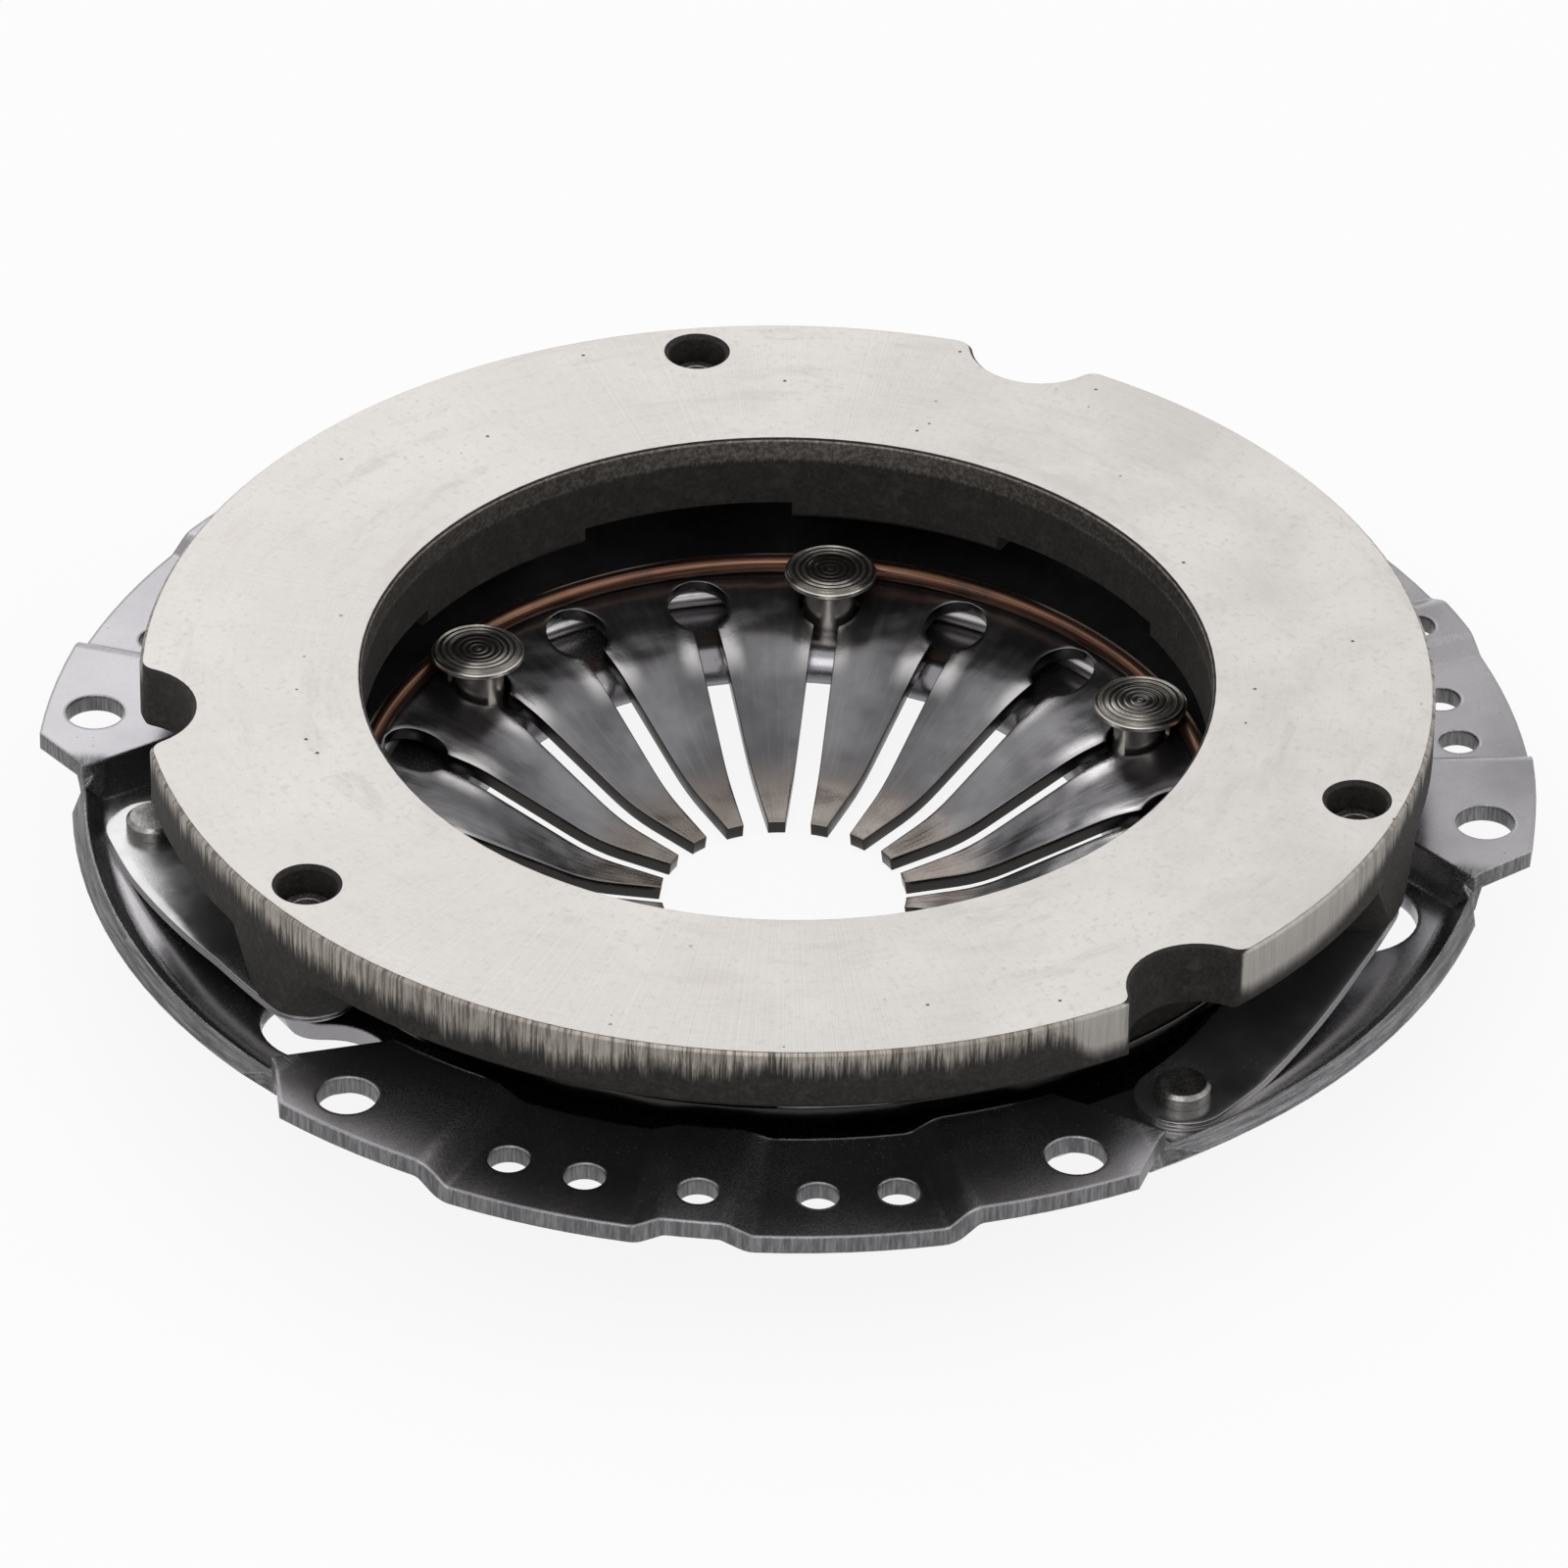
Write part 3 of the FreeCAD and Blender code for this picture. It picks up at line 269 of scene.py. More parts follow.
def grey(level, warmth=0.0):
    """A grey as linear colour, warmer when warmth is above 0."""
    return (level * (1.0 + warmth), level, level * (1.0 - warmth), 1.0)


def polar_of(shader, place):
    """Distance from the clutch axis, angle around it and height."""
    x, y, z = shader.split(place)
    radius = shader.math("SQRT", shader.plus(shader.times(x, x), shader.times(y, y)))
    angle = shader.math("ARCTAN2", y, x)
    return radius, angle, z


# Materials, with their colours as linear light

FACE_DARK = (0.515, 0.49, 0.47, 1.0)
FACE_LIGHT = (0.65, 0.625, 0.603, 1.0)
FACE_GROUND = (0.72, 0.70, 0.685, 1.0)
FACE_SPECK = (0.44, 0.42, 0.39, 1.0)
FACE_SMUDGE = (0.47, 0.44, 0.415, 1.0)
COVER_CUT_DARK = (0.10, 0.097, 0.102, 1.0)
COVER_CUT_LIGHT = (0.23, 0.225, 0.23, 1.0)
COVER_DARK = (0.245, 0.237, 0.25, 1.0)
COVER_LIGHT = (0.345, 0.335, 0.35, 1.0)
COVER_GRAIN = (0.44, 0.43, 0.445, 1.0)
COVER_RAW_DARK = (0.045, 0.044, 0.046, 1.0)
COVER_RAW_LIGHT = (0.20, 0.197, 0.20, 1.0)
# light grey for the cover's worn edges and for its painted edge and fold highlights
COVER_WORN_AND_HIGHLIGHT = (0.55, 0.54, 0.55, 1.0)
SPRING_DARK = (0.10, 0.097, 0.102, 1.0)
SPRING_LIGHT = (0.225, 0.22, 0.228, 1.0)
SPRING_RUBBED = (0.36, 0.345, 0.345, 1.0)
# near-white of the painted highlights on the fingers beside the slots
SPRING_LENS_HIGHLIGHT = (0.70, 0.685, 0.68, 1.0)
SPRING_BROWN = (0.20, 0.172, 0.155, 1.0)
SPRING_WORN = (0.33, 0.31, 0.29, 1.0)
STRAP_DARK = (0.28, 0.28, 0.287, 1.0)
STRAP_LIGHT = (0.48, 0.477, 0.483, 1.0)
STRAP_CUT = (0.52, 0.51, 0.50, 1.0)
HEAD_BRIGHT_LOW = (0.50, 0.47, 0.435, 1.0)
HEAD_BRIGHT_HIGH = (0.80, 0.77, 0.72, 1.0)
HEAD_DULL_LOW = (0.10, 0.09, 0.08, 1.0)
HEAD_DULL_HIGH = (0.20, 0.185, 0.17, 1.0)
UPPER_WIRE_DARK = (0.06, 0.028, 0.018, 1.0)
UPPER_WIRE_LIGHT = (0.25, 0.13, 0.088, 1.0)
LOWER_WIRE_DARK = (0.30, 0.29, 0.29, 1.0)
LOWER_WIRE_LIGHT = (0.62, 0.60, 0.60, 1.0)

# Where the painted highlights beside the slots and the marks on the fingers start and are full, as radii
# in millimetres

LENS_START, LENS_FULL = 44.5, 50.0
LENS_END, LENS_FADE = 55.5, 52.5
SLOT_HIGHLIGHT_END, SLOT_HIGHLIGHT_FULL = 60.0, 54.0
BROWN_START, BROWN_FULL = 34.0, 24.0
CONTACT_START, CONTACT_FULL = 25.0, 21.5


def cast_iron():
    s = Shader("plate_cast_iron")
    place = s.millimetres()
    radius, angle, z = polar_of(s, place)
    upward = s.split(s.geometry.outputs["Normal"])[2]
    on_face = s.times(s.range(upward, 0.7, 0.9), s.range(z, FACE_HEIGHT - 0.8, FACE_HEIGHT - 0.3))

    along = s.times(angle, RIM_RADIUS)
    streak = s.noise(s.join(along, s.times(z, 0.05), 0.0), 1.7, 4.0, 0.75)
    long_streak = s.noise(s.join(along, s.times(z, 0.02), 7.0), 0.35, 3.0, 0.6)
    drift = s.noise(s.join(s.times(along, 0.02), 0.0, 3.0), 1.0, 2.0)
    clean_turn = s.times(s.range(angle, -1.57, -1.5), s.range(angle, -0.7, -1.1))
    deep_turn = s.times(s.range(angle, -1.9, -2.3), s.range(angle, -3.0, -2.7))
    fade = s.plus(s.times(streak, 6.5), s.times(long_streak, 6.0))
    fade = s.plus(fade, s.times(drift, 4.0))
    fade = s.plus(s.minus(fade, 6.3), s.times(deep_turn, 3.0))
    reach = s.blend(clean_turn, fade, s.plus(6.2, s.times(streak, 0.8)))
    edge = s.minus(FACE_HEIGHT, reach)
    on_rim = s.range(radius, RIM_RADIUS - 0.7, RIM_RADIUS - 0.4)
    turned_rim = s.times(on_rim, s.range(s.minus(z, edge), -2.0, 1.4))
    in_bore = s.range(radius, BORE_RADIUS + 0.4, BORE_RADIUS + 0.2)
    ragged = s.times(s.minus(streak, 0.5), 2.4)
    turned_bore = s.times(in_bore, s.range(s.plus(z, ragged), 13.2, 14.0))
    machined = s.math("MAXIMUM", turned_rim, turned_bore)

    cloud = s.noise(place, 0.035, 5.0, 0.62)
    grain = s.noise(place, 1.3, 7.0, 0.8)
    lumps = s.noise(place, 0.35, 4.0, 0.6)
    casting = s.mix(s.range(grain, 0.38, 0.72), grey(0.005, 0.12), grey(0.034, 0.2))
    casting = s.mix(s.times(s.range(lumps, 0.5, 0.75), 0.5), casting, grey(0.055, 0.2))
    side_dark = s.mix(s.range(streak, 0.36, 0.6), grey(0.10, 0.14), grey(0.34, 0.10))
    side_steel = s.mix(s.times(clean_turn, 0.8), side_dark, grey(0.33, 0.05))
    bore_steel = s.mix(s.range(grain, 0.4, 0.65), grey(0.065, 0.10), grey(0.20, 0.08))
    side_steel = s.mix(in_bore, side_steel, bore_steel)

    grind = s.noise(s.join(s.times(radius, 2.4), s.times(angle, 5.0), 0.0), 1.0, 3.0, 0.6)
    speck = s.noise(place, 0.9, 4.0, 0.7)
    smudge = s.noise(s.join(s.times(radius, 0.5), s.times(angle, 9.0), 4.0), 0.35, 5.0, 0.7)
    face_steel = s.mix(s.range(cloud, 0.35, 0.68), FACE_DARK, FACE_LIGHT)
    face_steel = s.mix(s.times(s.range(grind, 0.35, 0.7), 0.22), face_steel, FACE_GROUND)
    face_steel = s.mix(s.times(s.range(speck, 0.52, 0.70), 0.45), face_steel, FACE_SPECK)
    face_steel = s.mix(s.times(s.range(smudge, 0.52, 0.72), 0.5), face_steel, FACE_SMUDGE)
    pit = s.spots(place, 0.22)
    rare = s.noise(place, 0.05, 2.0)
    pit_mark = s.times(s.range(pit, 0.075, 0.045), s.range(rare, 0.52, 0.6))
    face_steel = s.mix(pit_mark, face_steel, grey(0.08, 0.1))
    colour = s.mix(machined, casting, side_steel)
    colour = s.mix(on_face, colour, face_steel)

    bright = s.math("MAXIMUM", machined, on_face)
    rough_face = s.range(s.plus(cloud, s.times(grind, 0.4)), 0.5, 0.9, 0.40, 0.56)
    rough = s.blend(bright, 0.62, s.blend(on_face, 0.42, rough_face))
    metal = s.blend(bright, 0.25, s.blend(on_face, 0.85, 0.8))
    dents = s.times(s.minus(1.0, bright), s.plus(grain, lumps))
    tooling = s.times(bright, s.plus(s.times(streak, 0.12), s.times(grind, 0.03)))
    sunk = s.times(s.times(pit_mark, on_face), -0.5)
    height = s.plus(s.plus(dents, tooling), sunk)
    normal = s.bump(height, 0.9, 0.55 * MM, s.rounded(0.35 * MM))
    return s.surface(colour, metal, rough, normal)


def cover_steel():
    s = Shader("cover_phosphate")
    place = s.millimetres()
    radius, angle, z = polar_of(s, place)
    steep = s.math("ABSOLUTE", s.split(s.geometry.outputs["Normal"])[2])
    on_flange = s.range(radius, FLANGE_FOOT_RADIUS, FLANGE_FOOT_RADIUS + 1.0)
    sheared = s.times(s.range(steep, 0.2, 0.08), on_flange)
    cloud = s.noise(place, 0.03, 5.0, 0.6)
    grain = s.noise(place, 2.2, 6.0, 0.75)
    speck = s.spots(place, 0.35)
    skin = s.mix(s.range(cloud, 0.3, 0.7), COVER_DARK, COVER_LIGHT)
    skin = s.mix(s.times(s.range(grain, 0.5, 0.75), 0.15), skin, COVER_GRAIN)
    skin = s.mix(s.times(s.range(speck, 0.12, 0.04), 0.35), skin, grey(0.1))
    tear = s.noise(s.join(s.times(angle, radius), s.times(z, 0.1), radius), 1.6, 4.0, 0.7)
    cut = s.mix(s.range(tear, 0.35, 0.7), COVER_CUT_DARK, COVER_CUT_LIGHT)
    colour = s.mix(sheared, skin, cut)
    from_segment = s.math("PINGPONG", angle, math.pi / SEGMENTS)
    rim = s.times(s.range(from_segment, POCKET_ANGLE, POCKET_ANGLE + POCKET_ANGLE_FADE),
                  s.range(radius, POCKET_RIM_RADIUS, POCKET_RIM_RADIUS + POCKET_RIM_FADE))
    stretched = s.join(s.times(s.times(angle, radius), 0.12), s.times(z, 2.2), s.times(radius, 2.2))
    torn = s.noise(stretched, 0.9, 5.0, 0.75)
    raw = s.mix(s.range(torn, 0.35, 0.68), COVER_RAW_DARK, COVER_RAW_LIGHT)
    colour = s.mix(s.times(rim, 0.85), colour, raw)
    # painted highlight on the rounded folds of the flange, found from how far the surface tilts
    fold_highlight = s.times(s.range(steep, 0.999, 0.985), s.range(steep, 0.86, 0.95))
    fold_highlight = s.times(s.times(fold_highlight, 0.6), on_flange)
    # edge wear and painted highlight: lighter along sharp edges and on the fold roundings, patchy by
    # grain
    edge_wear_and_highlight = s.times(s.math("MAXIMUM", s.edges(0.5 * MM), fold_highlight), s.range(grain, 0.35, 0.6))
    colour = s.mix(s.times(edge_wear_and_highlight, 0.55), colour, COVER_WORN_AND_HIGHLIGHT)
    rough = s.blend(sheared, s.range(s.plus(grain, cloud), 0.7, 1.3, 0.19, 0.30), 0.34)
    height = s.plus(s.times(cloud, 0.8), s.times(s.times(sheared, tear), 0.8))
    height = s.plus(height, s.times(s.times(rim, torn), 1.5))
    normal = s.bump(height, 0.8, 0.12 * MM, s.rounded(0.8 * MM))
    return s.surface(colour, 0.97, rough, normal)


def spring_steel():
    s = Shader("spring_steel")
    place = s.millimetres()
    radius, angle, _ = polar_of(s, place)
    steep = s.math("ABSOLUTE", s.split(s.geometry.outputs["True Normal"])[2])
    side = s.range(steep, 0.55, 0.3)
    cloud = s.noise(place, 0.055, 4.0, 0.55)
    drawn = s.noise(s.join(s.times(radius, 0.07), s.times(angle, 46.0), 0.0), 1.0, 4.0, 0.65)
    grain = s.noise(place, 2.6, 5.0, 0.7)
    blue = s.mix(s.range(cloud, 0.32, 0.7), SPRING_DARK, SPRING_LIGHT)
    rubbed_and_lens_highlight = s.mix(s.times(s.range(drawn, 0.45, 0.75), 0.15), blue, SPRING_RUBBED)
    # painted highlight: lens-shaped bright patches on the fingers beside the slots, in place of
    # reflections
    finger = s.math("PINGPONG", angle, math.pi / FINGERS)
    by_slot = s.times(s.times(radius, finger), s.range(radius, SLOT_HIGHLIGHT_END, SLOT_HIGHLIGHT_FULL))
    lens = s.times(s.range(radius, LENS_START, LENS_FULL), s.range(radius, LENS_END, LENS_FADE))
    lens = s.times(lens, s.range(s.plus(by_slot, s.times(cloud, 6.0)), 8.6, 5.6))
    rubbed_and_lens_highlight = s.mix(s.times(lens, 0.75), rubbed_and_lens_highlight, SPRING_LENS_HIGHLIGHT)
    brown = s.mix(s.range(radius, BROWN_START, BROWN_FULL), rubbed_and_lens_highlight, SPRING_BROWN)
    contact = s.times(s.range(radius, CONTACT_START, CONTACT_FULL), s.range(cloud, 0.4, 0.6))
    worn = s.mix(s.times(contact, 0.4), brown, SPRING_WORN)
    colour = s.mix(side, worn, grey(0.035, 0.05))
    rough = s.range(s.plus(grain, s.times(drawn, 0.6)), 0.5, 1.1, 0.15, 0.27)
    wave = s.noise(place, 0.075, 2.0, 0.4)
    fine = s.plus(s.times(grain, 0.02), s.times(drawn, 0.03))
    normal = s.bump(s.plus(wave, fine), 1.0, 1.3 * MM, s.rounded(0.3 * MM))
    return s.surface(colour, 0.95, rough, normal)


def strap_steel():
    s = Shader("strap_steel")
    place = s.millimetres()
    steep = s.math("ABSOLUTE", s.split(s.geometry.outputs["True Normal"])[2])
    edge = s.range(steep, 0.5, 0.3)
    cloud = s.noise(place, 0.06, 4.0, 0.55)
    grain = s.noise(place, 2.8, 5.0, 0.7)
    colour = s.mix(s.range(cloud, 0.3, 0.7), STRAP_DARK, STRAP_LIGHT)
    colour = s.mix(s.times(s.range(grain, 0.55, 0.75), 0.25), colour, grey(0.12, 0.1))
    colour = s.mix(edge, colour, STRAP_CUT)
    rough = s.range(s.plus(cloud, s.times(grain, 0.5)), 0.5, 1.0, 0.18, 0.30)
    normal = s.bump(grain, 0.12, 0.1 * MM, s.rounded(0.12 * MM))
    return s.surface(colour, 0.95, rough, normal)


def spacer_rivet_steel():
    s = Shader("spacer_rivet_steel")
    place = s.millimetres()
    radius, angle, _ = polar_of(s, place)
    from_rivet = s.math("PINGPONG", angle, math.pi / SPACER_RIVETS)
    across = s.minus(s.times(radius, s.math("COSINE", from_rivet)), KEYHOLE_CIRCLE_RADIUS)
    aside = s.times(radius, s.math("SINE", from_rivet))
    local = s.math("SQRT", s.plus(s.times(across, across), s.times(aside, aside)))
    rings = s.math("SINE", s.times(local, math.tau * HEAD_RINGS_PER_MM))
    cloud = s.noise(place, 0.25, 5.0, 0.6)
    grain = s.noise(place, 2.0, 5.0, 0.7)
    bright = s.mix(cloud, HEAD_BRIGHT_LOW, HEAD_BRIGHT_HIGH)
    dull = s.mix(grain, HEAD_DULL_LOW, HEAD_DULL_HIGH)
    colour = s.mix(s.range(rings, -0.9, 0.5), dull, bright)
    colour = s.mix(s.times(s.range(local, 4.6, 3.4), 0.75), colour, dull)
    height = s.plus(s.times(rings, 0.5), s.times(grain, 0.15))
    normal = s.bump(height, 0.8, 0.12 * MM, s.rounded(0.25 * MM))
    return s.surface(colour, 0.95, s.blend(grain, 0.18, 0.3), normal)


def rivet_steel(name, dark, light):
    s = Shader(name)
    place = s.millimetres()
    cloud = s.noise(place, 0.22, 5.0, 0.6)
    grain = s.noise(place, 1.8, 5.0, 0.7)
    colour = s.mix(s.range(cloud, 0.3, 0.7), grey(dark, 0.04), grey(light, 0.03))
    colour = s.mix(s.times(s.range(grain, 0.55, 0.75), 0.35), colour, grey(dark * 0.6, 0.08))
    normal = s.bump(grain, 0.3, 0.12 * MM, s.rounded(0.3 * MM))
    return s.surface(colour, 0.95, s.range(grain, 0.3, 0.7, 0.20, 0.36), normal)


def ring_wire(name, dark, light):
    s = Shader(name)
    place = s.millimetres()
    radius, angle, z = polar_of(s, place)
    lengthwise = s.join(s.times(radius, 3.0), s.times(angle, 1.5), s.times(z, 3.0))
    drawn = s.noise(lengthwise, 1.0, 3.0)
    tarnish = s.noise(place, 0.12, 4.0, 0.6)
    colour = s.mix(s.range(drawn, 0.3, 0.7), dark, light)
    colour = s.mix(s.times(s.range(tarnish, 0.45, 0.7), 0.5), colour, grey(0.035, 0.15))
    return s.surface(colour, 0.95, s.blend(tarnish, 0.24, 0.38), s.bump(drawn, 0.25, 0.1 * MM))


# Spring and strap leaves, built as thin sheets in one shape; they flex on the real clutch

def new_piece(name, sheet):
    mesh = bpy.data.meshes.new(name)
    sheet.to_mesh(mesh)
    sheet.free()
    for face in mesh.polygons:
        face.use_smooth = True
    piece = bpy.data.objects.new(name, mesh)
    scene.collection.objects.link(piece)
    return piece


def thicken(piece, thickness, edge):
    """Give a sheet its thickness on both sides and break its edges."""
    solid = piece.modifiers.new("thickness", "SOLIDIFY")
    solid.thickness = thickness * MM
    solid.offset = 0.0
    solid.use_even_offset = True
    edges = piece.modifiers.new("edges", "BEVEL")
    edges.width = edge * MM
    edges.segments = EDGE_SEGMENTS
    edges.limit_method = "ANGLE"
    edges.angle_limit = EDGE_ANGLE


def bend_height(radius):
    """Height of the middle of the spring's sheet at a radius, with rounded bends."""
    corners = ((KNEE_RADIUS, TIP_ANGLE, SLOPE_ANGLE), (BEND_RADIUS, SLOPE_ANGLE, CONE_ANGLE))
    height = FULCRUM_HEIGHT + (radius - FULCRUM_RADIUS) * math.tan(CONE_ANGLE)
    for corner, inner, outer in corners:
        step = math.tan(inner) - math.tan(outer)
        reach = BEND_ROUNDING * abs(math.tan((inner - outer) / 2))
        inside = corner - radius
        if inside >= reach:
            height -= inside * step
        elif inside > -reach:
            height -= step * (inside + reach) ** 2 / (4 * reach)
    return height


def spring_rows():
    """Radius of each row of points, with half the angle that its slot or keyhole takes."""
    rows = []
    bend_reach = BEND_ROUNDING * math.tan((SLOPE_ANGLE - CONE_ANGLE) / 2)
    knee_reach = BEND_ROUNDING * math.tan((SLOPE_ANGLE - TIP_ANGLE) / 2)
    tip_run = KNEE_RADIUS - knee_reach - TIP_RADIUS
    radii = [TIP_RADIUS + step * tip_run / TIP_STEPS for step in range(TIP_STEPS + 1)]
    radii += [KNEE_RADIUS + knee_reach * share for share in BEND_SHARES]
    run = BEND_RADIUS - bend_reach - KNEE_RADIUS - knee_reach
    radii += [KNEE_RADIUS + knee_reach + run * step / SLOPE_STEPS for step in range(1, SLOPE_STEPS + 1)]
    radii += [BEND_RADIUS + bend_reach * share for share in BEND_SHARES]
    radii += ROWS_BEFORE_KEYHOLE
    for radius in radii:
        rows.append((radius, math.asin(SLOT_HALF_WIDTH / radius)))
    corner = math.pi - math.asin(SLOT_HALF_WIDTH / KEYHOLE_RADIUS)
    for step in range(KEYHOLE_STEPS + 1):
        turn = corner * (1 - step / KEYHOLE_STEPS)
        x = KEYHOLE_CIRCLE_RADIUS + KEYHOLE_RADIUS * math.cos(turn)
        y = KEYHOLE_RADIUS * math.sin(turn)
        rows.append((math.hypot(x, y), math.atan2(y, x)))
    last = rows[-1][0]
    cone_run = SPRING_RIM_RADIUS - last
    rows += [(last + cone_run * step / CONE_STEPS, 0.0) for step in range(1, CONE_STEPS + 1)]
    return rows


def build_spring():
    rows = spring_rows()
    columns = FINGER_COLUMNS
    pitch = math.tau / FINGERS
    sheet = bmesh.new()
    for finger in range(FINGERS):
        middle = (finger + 0.5) * pitch
        grid = []
        for radius, gap in rows:
            half = pitch / 2 - gap
            turns = [middle + half * (2 * c / columns - 1) for c in range(columns + 1)]
            height = bend_height(radius)
            places = [(radius * math.cos(t) * MM, radius * math.sin(t) * MM, height * MM) for t in turns]
            grid.append([sheet.verts.new(place) for place in places])
        for inner, outer in zip(grid, grid[1:]):
            for c in range(columns):
                sheet.faces.new((inner[c], outer[c], outer[c + 1], inner[c + 1]))
    bmesh.ops.remove_doubles(sheet, verts=sheet.verts, dist=MERGE_DISTANCE)
    bmesh.ops.recalc_face_normals(sheet, faces=sheet.faces)
    spring = new_piece("diaphragm_spring_sheet", sheet)
    thicken(spring, SPRING_THICKNESS, SPRING_EDGE)
    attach(spring, "cover")
    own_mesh(spring)
    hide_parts("diaphragm_spring")
    return spring


def middle_of(node):
    low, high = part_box(node)
    return (low + high) / 2


def leaf_stations(reach):
    """Middle point, sideways direction and half width along a bowed leaf with round ends."""
    centre_run = reach * reach / (STRAP_BOW * 8) + STRAP_BOW / 2
    lean = math.asin(reach / 2 / centre_run)
    centre = Vector((reach / 2, centre_run - STRAP_BOW))
    stations = []
    for share in (step / STRAP_CAP_STEPS for step in range(STRAP_CAP_STEPS, 0, -1)):
        stations.append((-lean, -math.sin(share * math.pi / 2), math.cos(share * math.pi / 2)))
    for step in range(STRAP_STEPS + 1):
        stations.append((lean * (2 * step / STRAP_STEPS - 1), 0.0, 1.0))
    for share in (step / STRAP_CAP_STEPS for step in range(1, STRAP_CAP_STEPS + 1)):
        stations.append((lean, math.sin(share * math.pi / 2), math.cos(share * math.pi / 2)))
    for turn, beyond, width in stations:
        outward = Vector((math.sin(turn), -math.cos(turn)))
        ahead = Vector((math.cos(turn), math.sin(turn)))
        middle = centre + outward * centre_run + ahead * (beyond * STRAP_HALF_WIDTH)
        yield middle, outward, max(width, CAP_TIP_SHARE) * STRAP_HALF_WIDTH


def leaf_height(x, reach):
    """Rise of a leaf at a distance along it, with rounded bends."""
    lug_bend = reach - STRAP_LUG_FLAT_LENGTH
    slope = STRAP_RISE / (lug_bend - STRAP_FLAT_LENGTH)
    rise = 0.0
    for bend, change in ((STRAP_FLAT_LENGTH, slope), (lug_bend, -slope)):
        past = x - bend
        if past >= STRAP_BEND_REACH:
            rise += past * change
        elif past > -STRAP_BEND_REACH:
            rise += change * (past + STRAP_BEND_REACH) ** 2 / (4 * STRAP_BEND_REACH)
    return rise


def build_leaf(number, layer):
    node = "drive_strap_%d_%s" % (number, layer)
    cover_end = middle_of("cover_strap_rivet_%d" % number)
    lug_end = middle_of("plate_strap_rivet_%d" % number)
    run = (lug_end - cover_end).to_2d()
    reach = run.length / MM
    heading = run.normalized()
    aside = Vector((-heading.y, heading.x))
    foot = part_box(node)[0].z + STRAP_THICKNESS * MM / 2
    sheet = bmesh.new()
    rows = []
    for middle, outward, half in leaf_stations(reach):
        row = []
        for column in range(STRAP_COLUMNS + 1):
            local = middle + outward * half * (2 * column / STRAP_COLUMNS - 1)
            flat = cover_end.to_2d() + (heading * local.x + aside * local.y) * MM
            row.append(sheet.verts.new((flat.x, flat.y, foot + leaf_height(local.x, reach) * MM)))
        rows.append(row)
    for first, second in zip(rows, rows[1:]):
        for column in range(STRAP_COLUMNS):
            sheet.faces.new((first[column], second[column], second[column + 1], first[column + 1]))
    bmesh.ops.recalc_face_normals(sheet, faces=sheet.faces)
    leaf = new_piece(node + "_leaf", sheet)
    thicken(leaf, STRAP_THICKNESS, STRAP_EDGE)
    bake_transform(leaf)
    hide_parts(node)
    return leaf


def dress():
    spring = build_spring()
    straps = range(1, SEGMENTS + 1)
    leaves = [build_leaf(number, layer) for number in straps for layer in ("lower", "upper")]
    finishes = {
        "pressure_plate": cast_iron(),
        "cover": cover_steel(),
        "diaphragm_spring": spring_steel(),
        "fulcrum_ring_upper": ring_wire("ring_wire", UPPER_WIRE_DARK, UPPER_WIRE_LIGHT),
        "fulcrum_ring_lower": ring_wire(
            "lower_ring_wire", LOWER_WIRE_DARK, LOWER_WIRE_LIGHT),
        "spacer_rivet": spacer_rivet_steel(),
        "cover_strap_rivet": rivet_steel("cover_rivet_steel", 0.12, 0.30),
        "plate_strap_rivet": rivet_steel("plate_rivet_steel", 0.22, 0.45),
        "drive_strap": strap_steel(),
    }
    for piece in list(nodes.values()) + [spring] + leaves:
        start = max((key for key in finishes if piece.name.startswith(key)), key=len)
        piece.data.materials.clear()
        piece.data.materials.append(finishes[start])


# Floor, light and camera

FLOOR_SIZE = 6.0
FLOOR_GAP = 0.0002
FLOOR_LEVEL = 0.9
FLOOR_GLOW = 0.88  # share of white that cameras, mirrors and glass see in place of the lit floor
WORLD_LEVEL = 0.7
SOFTBOX_SIZE = 0.9
SOFTBOXES = {
    "key_light": ((-0.7, -0.9, 1.3), 4.5),
    "fill_light": ((1.1, -0.6, 0.8), 2.0),
    "back_light": ((0.2, 1.3, 1.0), 2.5),
}


def seen_brightly(tree):
    """1 for camera, mirror and glass rays, else 0."""
    path = tree.nodes.new("ShaderNodeLightPath")
    total = path.outputs["Is Camera Ray"]
    for name in ("Is Glossy Ray", "Is Transmission Ray"):
        either = tree.nodes.new("ShaderNodeMath")
        either.operation = "MAXIMUM"
        tree.links.new(total, either.inputs[0])
        tree.links.new(path.outputs[name], either.inputs[1])
        total = either.outputs[0]
    return total


def add_floor():
    bpy.ops.mesh.primitive_plane_add(size=FLOOR_SIZE, location=(0, 0, cad_box[0].z - FLOOR_GAP))
    floor = bpy.context.object
    floor.name = "floor"
    material = bpy.data.materials.new("pale_floor")
    material.use_nodes = True
    tree = material.node_tree
    tree.nodes.clear()
    diffuse = tree.nodes.new("ShaderNodeBsdfDiffuse")
    diffuse.inputs["Color"].default_value = grey(FLOOR_LEVEL)
    glow = tree.nodes.new("ShaderNodeEmission")
    mix = tree.nodes.new("ShaderNodeMixShader")
    share = tree.nodes.new("ShaderNodeMath")
    share.operation = "MULTIPLY"
    share.inputs[1].default_value = FLOOR_GLOW
    tree.links.new(seen_brightly(tree), share.inputs[0])
    tree.links.new(share.outputs[0], mix.inputs[0])
    tree.links.new(diffuse.outputs[0], mix.inputs[1])
    tree.links.new(glow.outputs[0], mix.inputs[2])
    output = tree.nodes.new("ShaderNodeOutputMaterial")
    tree.links.new(mix.outputs[0], output.inputs["Surface"])
    floor.data.materials.append(material)


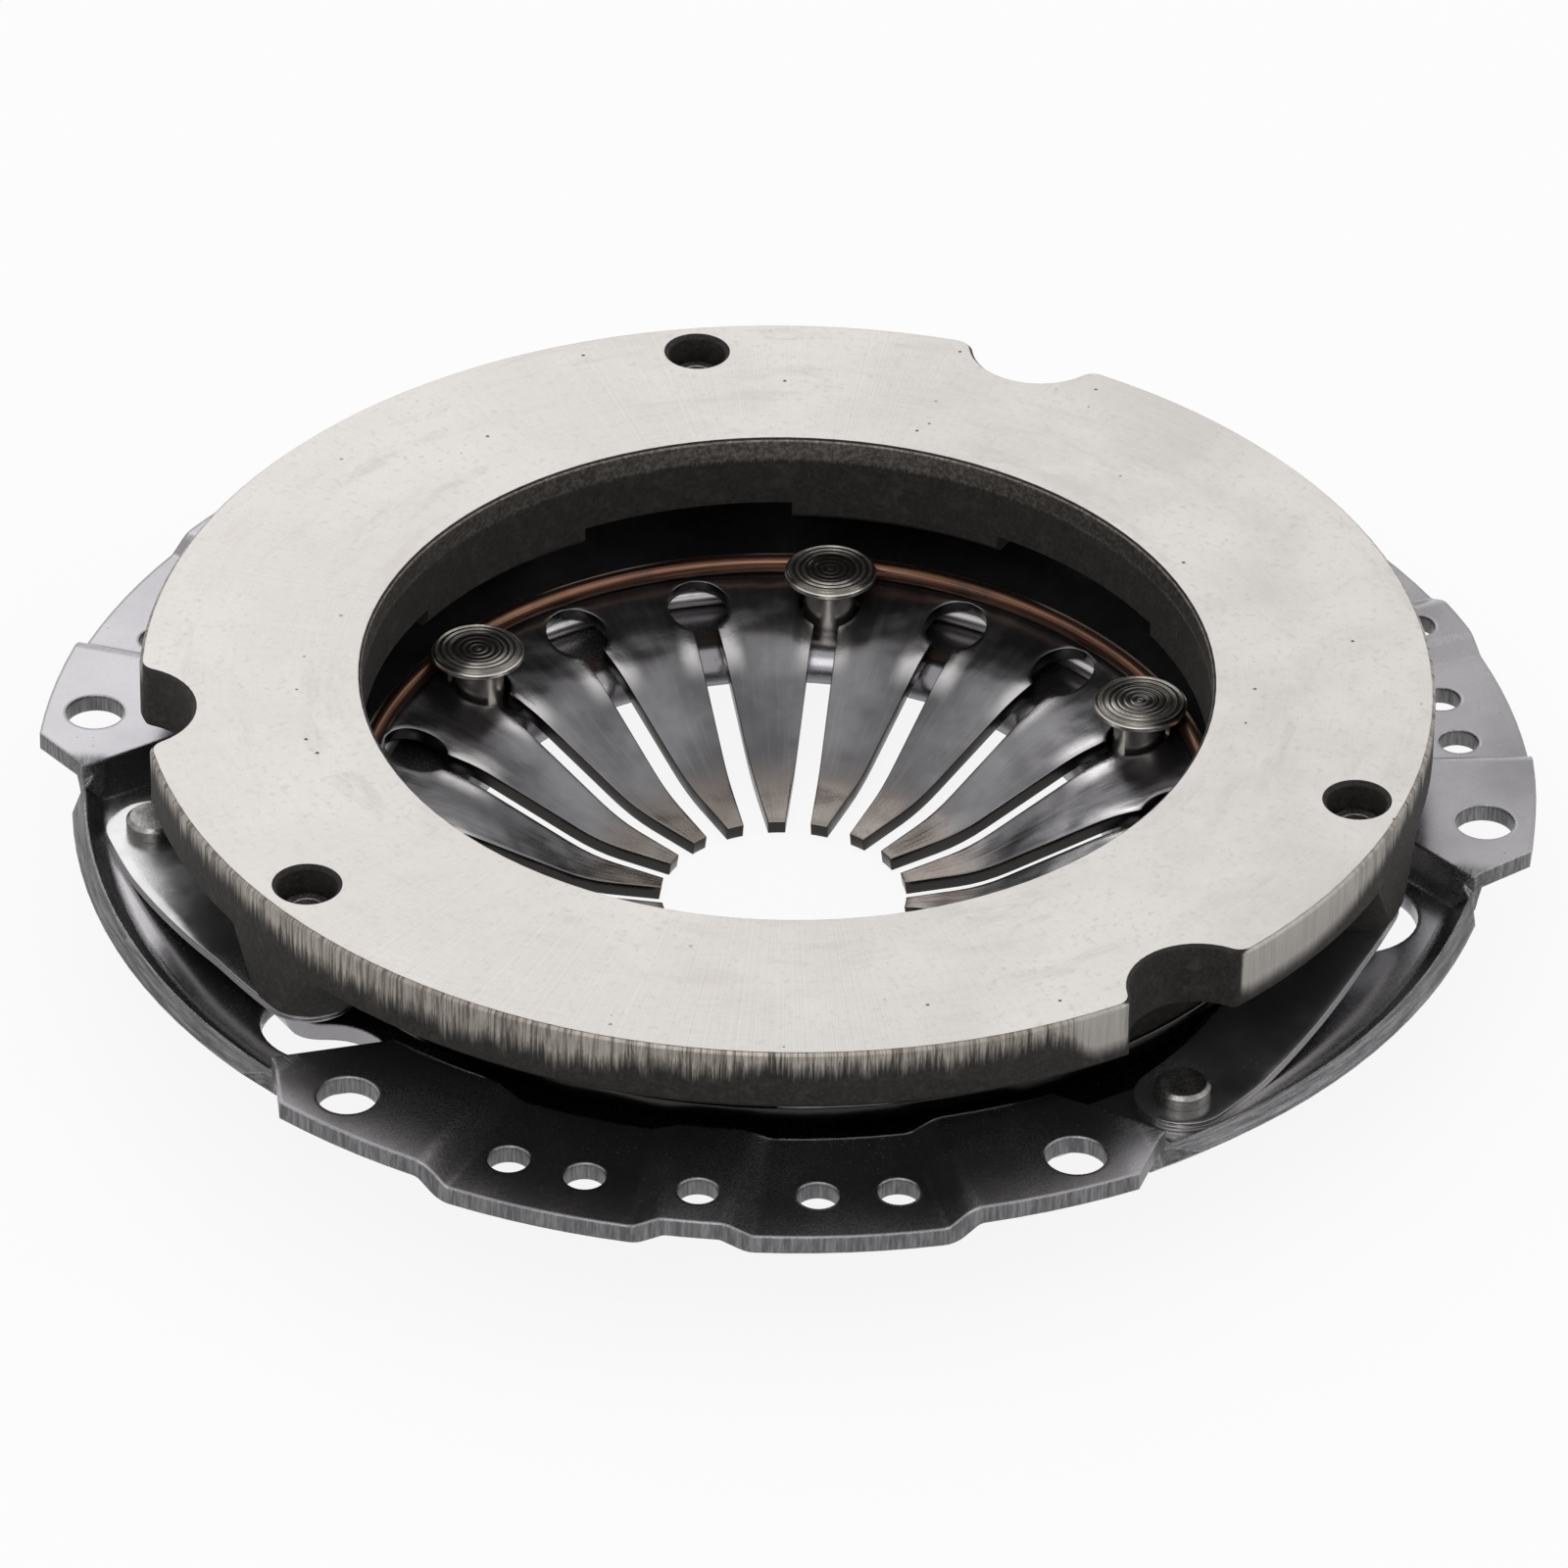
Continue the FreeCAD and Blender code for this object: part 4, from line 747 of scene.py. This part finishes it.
def add_world():
    world = bpy.data.worlds.new("studio")
    scene.world = world
    world.use_nodes = True
    tree = world.node_tree
    tree.nodes.clear()
    around = tree.nodes.new("ShaderNodeBackground")
    around.inputs["Strength"].default_value = WORLD_LEVEL
    seen = tree.nodes.new("ShaderNodeBackground")
    mix = tree.nodes.new("ShaderNodeMixShader")
    for node in (around, seen):
        node.inputs["Color"].default_value = (1.0, 1.0, 1.0, 1.0)
    tree.links.new(seen_brightly(tree), mix.inputs[0])
    tree.links.new(around.outputs[0], mix.inputs[1])
    tree.links.new(seen.outputs[0], mix.inputs[2])
    output = tree.nodes.new("ShaderNodeOutputWorld")
    tree.links.new(mix.outputs[0], output.inputs["Surface"])


def add_softbox(name, place, power):
    """A round lamp that looks at the origin."""
    light = bpy.data.lights.new(name, "AREA")
    light.shape = "DISK"
    light.size = SOFTBOX_SIZE
    light.energy = power
    lamp = bpy.data.objects.new(name, light)
    scene.collection.objects.link(lamp)
    lamp.location = place
    lamp.rotation_euler = (-Vector(place)).to_track_quat("-Z", "Y").to_euler()


CAMERA_AZIMUTH = -113.740
CAMERA_ELEVATION = 34.8186
CAMERA_DISTANCE = 1.5696
CAMERA_ROLL = 0.9592
CAMERA_TARGET = Vector((-0.00409, -0.00873, 0.00352))
CAMERA_LENS = 240.8
SENSOR_WIDTH = 36.0


def add_camera():
    azimuth, elevation = math.radians(CAMERA_AZIMUTH), math.radians(CAMERA_ELEVATION)
    away = Vector((math.cos(elevation) * math.cos(azimuth),
                   math.cos(elevation) * math.sin(azimuth),
                   math.sin(elevation)))
    right = Vector((0, 0, 1)).cross(away).normalized()
    up = away.cross(right)
    roll = math.radians(CAMERA_ROLL)
    turned_right = right * math.cos(roll) + up * math.sin(roll)
    turned_up = up * math.cos(roll) - right * math.sin(roll)
    data = bpy.data.cameras.new("photo_camera")
    data.lens = CAMERA_LENS
    data.sensor_width = SENSOR_WIDTH
    data.sensor_fit = "HORIZONTAL"
    camera = bpy.data.objects.new("photo_camera", data)
    scene.collection.objects.link(camera)
    turn = Matrix((turned_right, turned_up, away)).transposed()
    camera.matrix_world = Matrix.Translation(CAMERA_TARGET + away * CAMERA_DISTANCE) @ turn.to_4x4()
    scene.camera = camera


dress()
add_floor()
add_world()
for lamp_name, (lamp_place, lamp_power) in SOFTBOXES.items():
    add_softbox(lamp_name, lamp_place, lamp_power)
add_camera()
scene.view_settings.view_transform = "Standard"
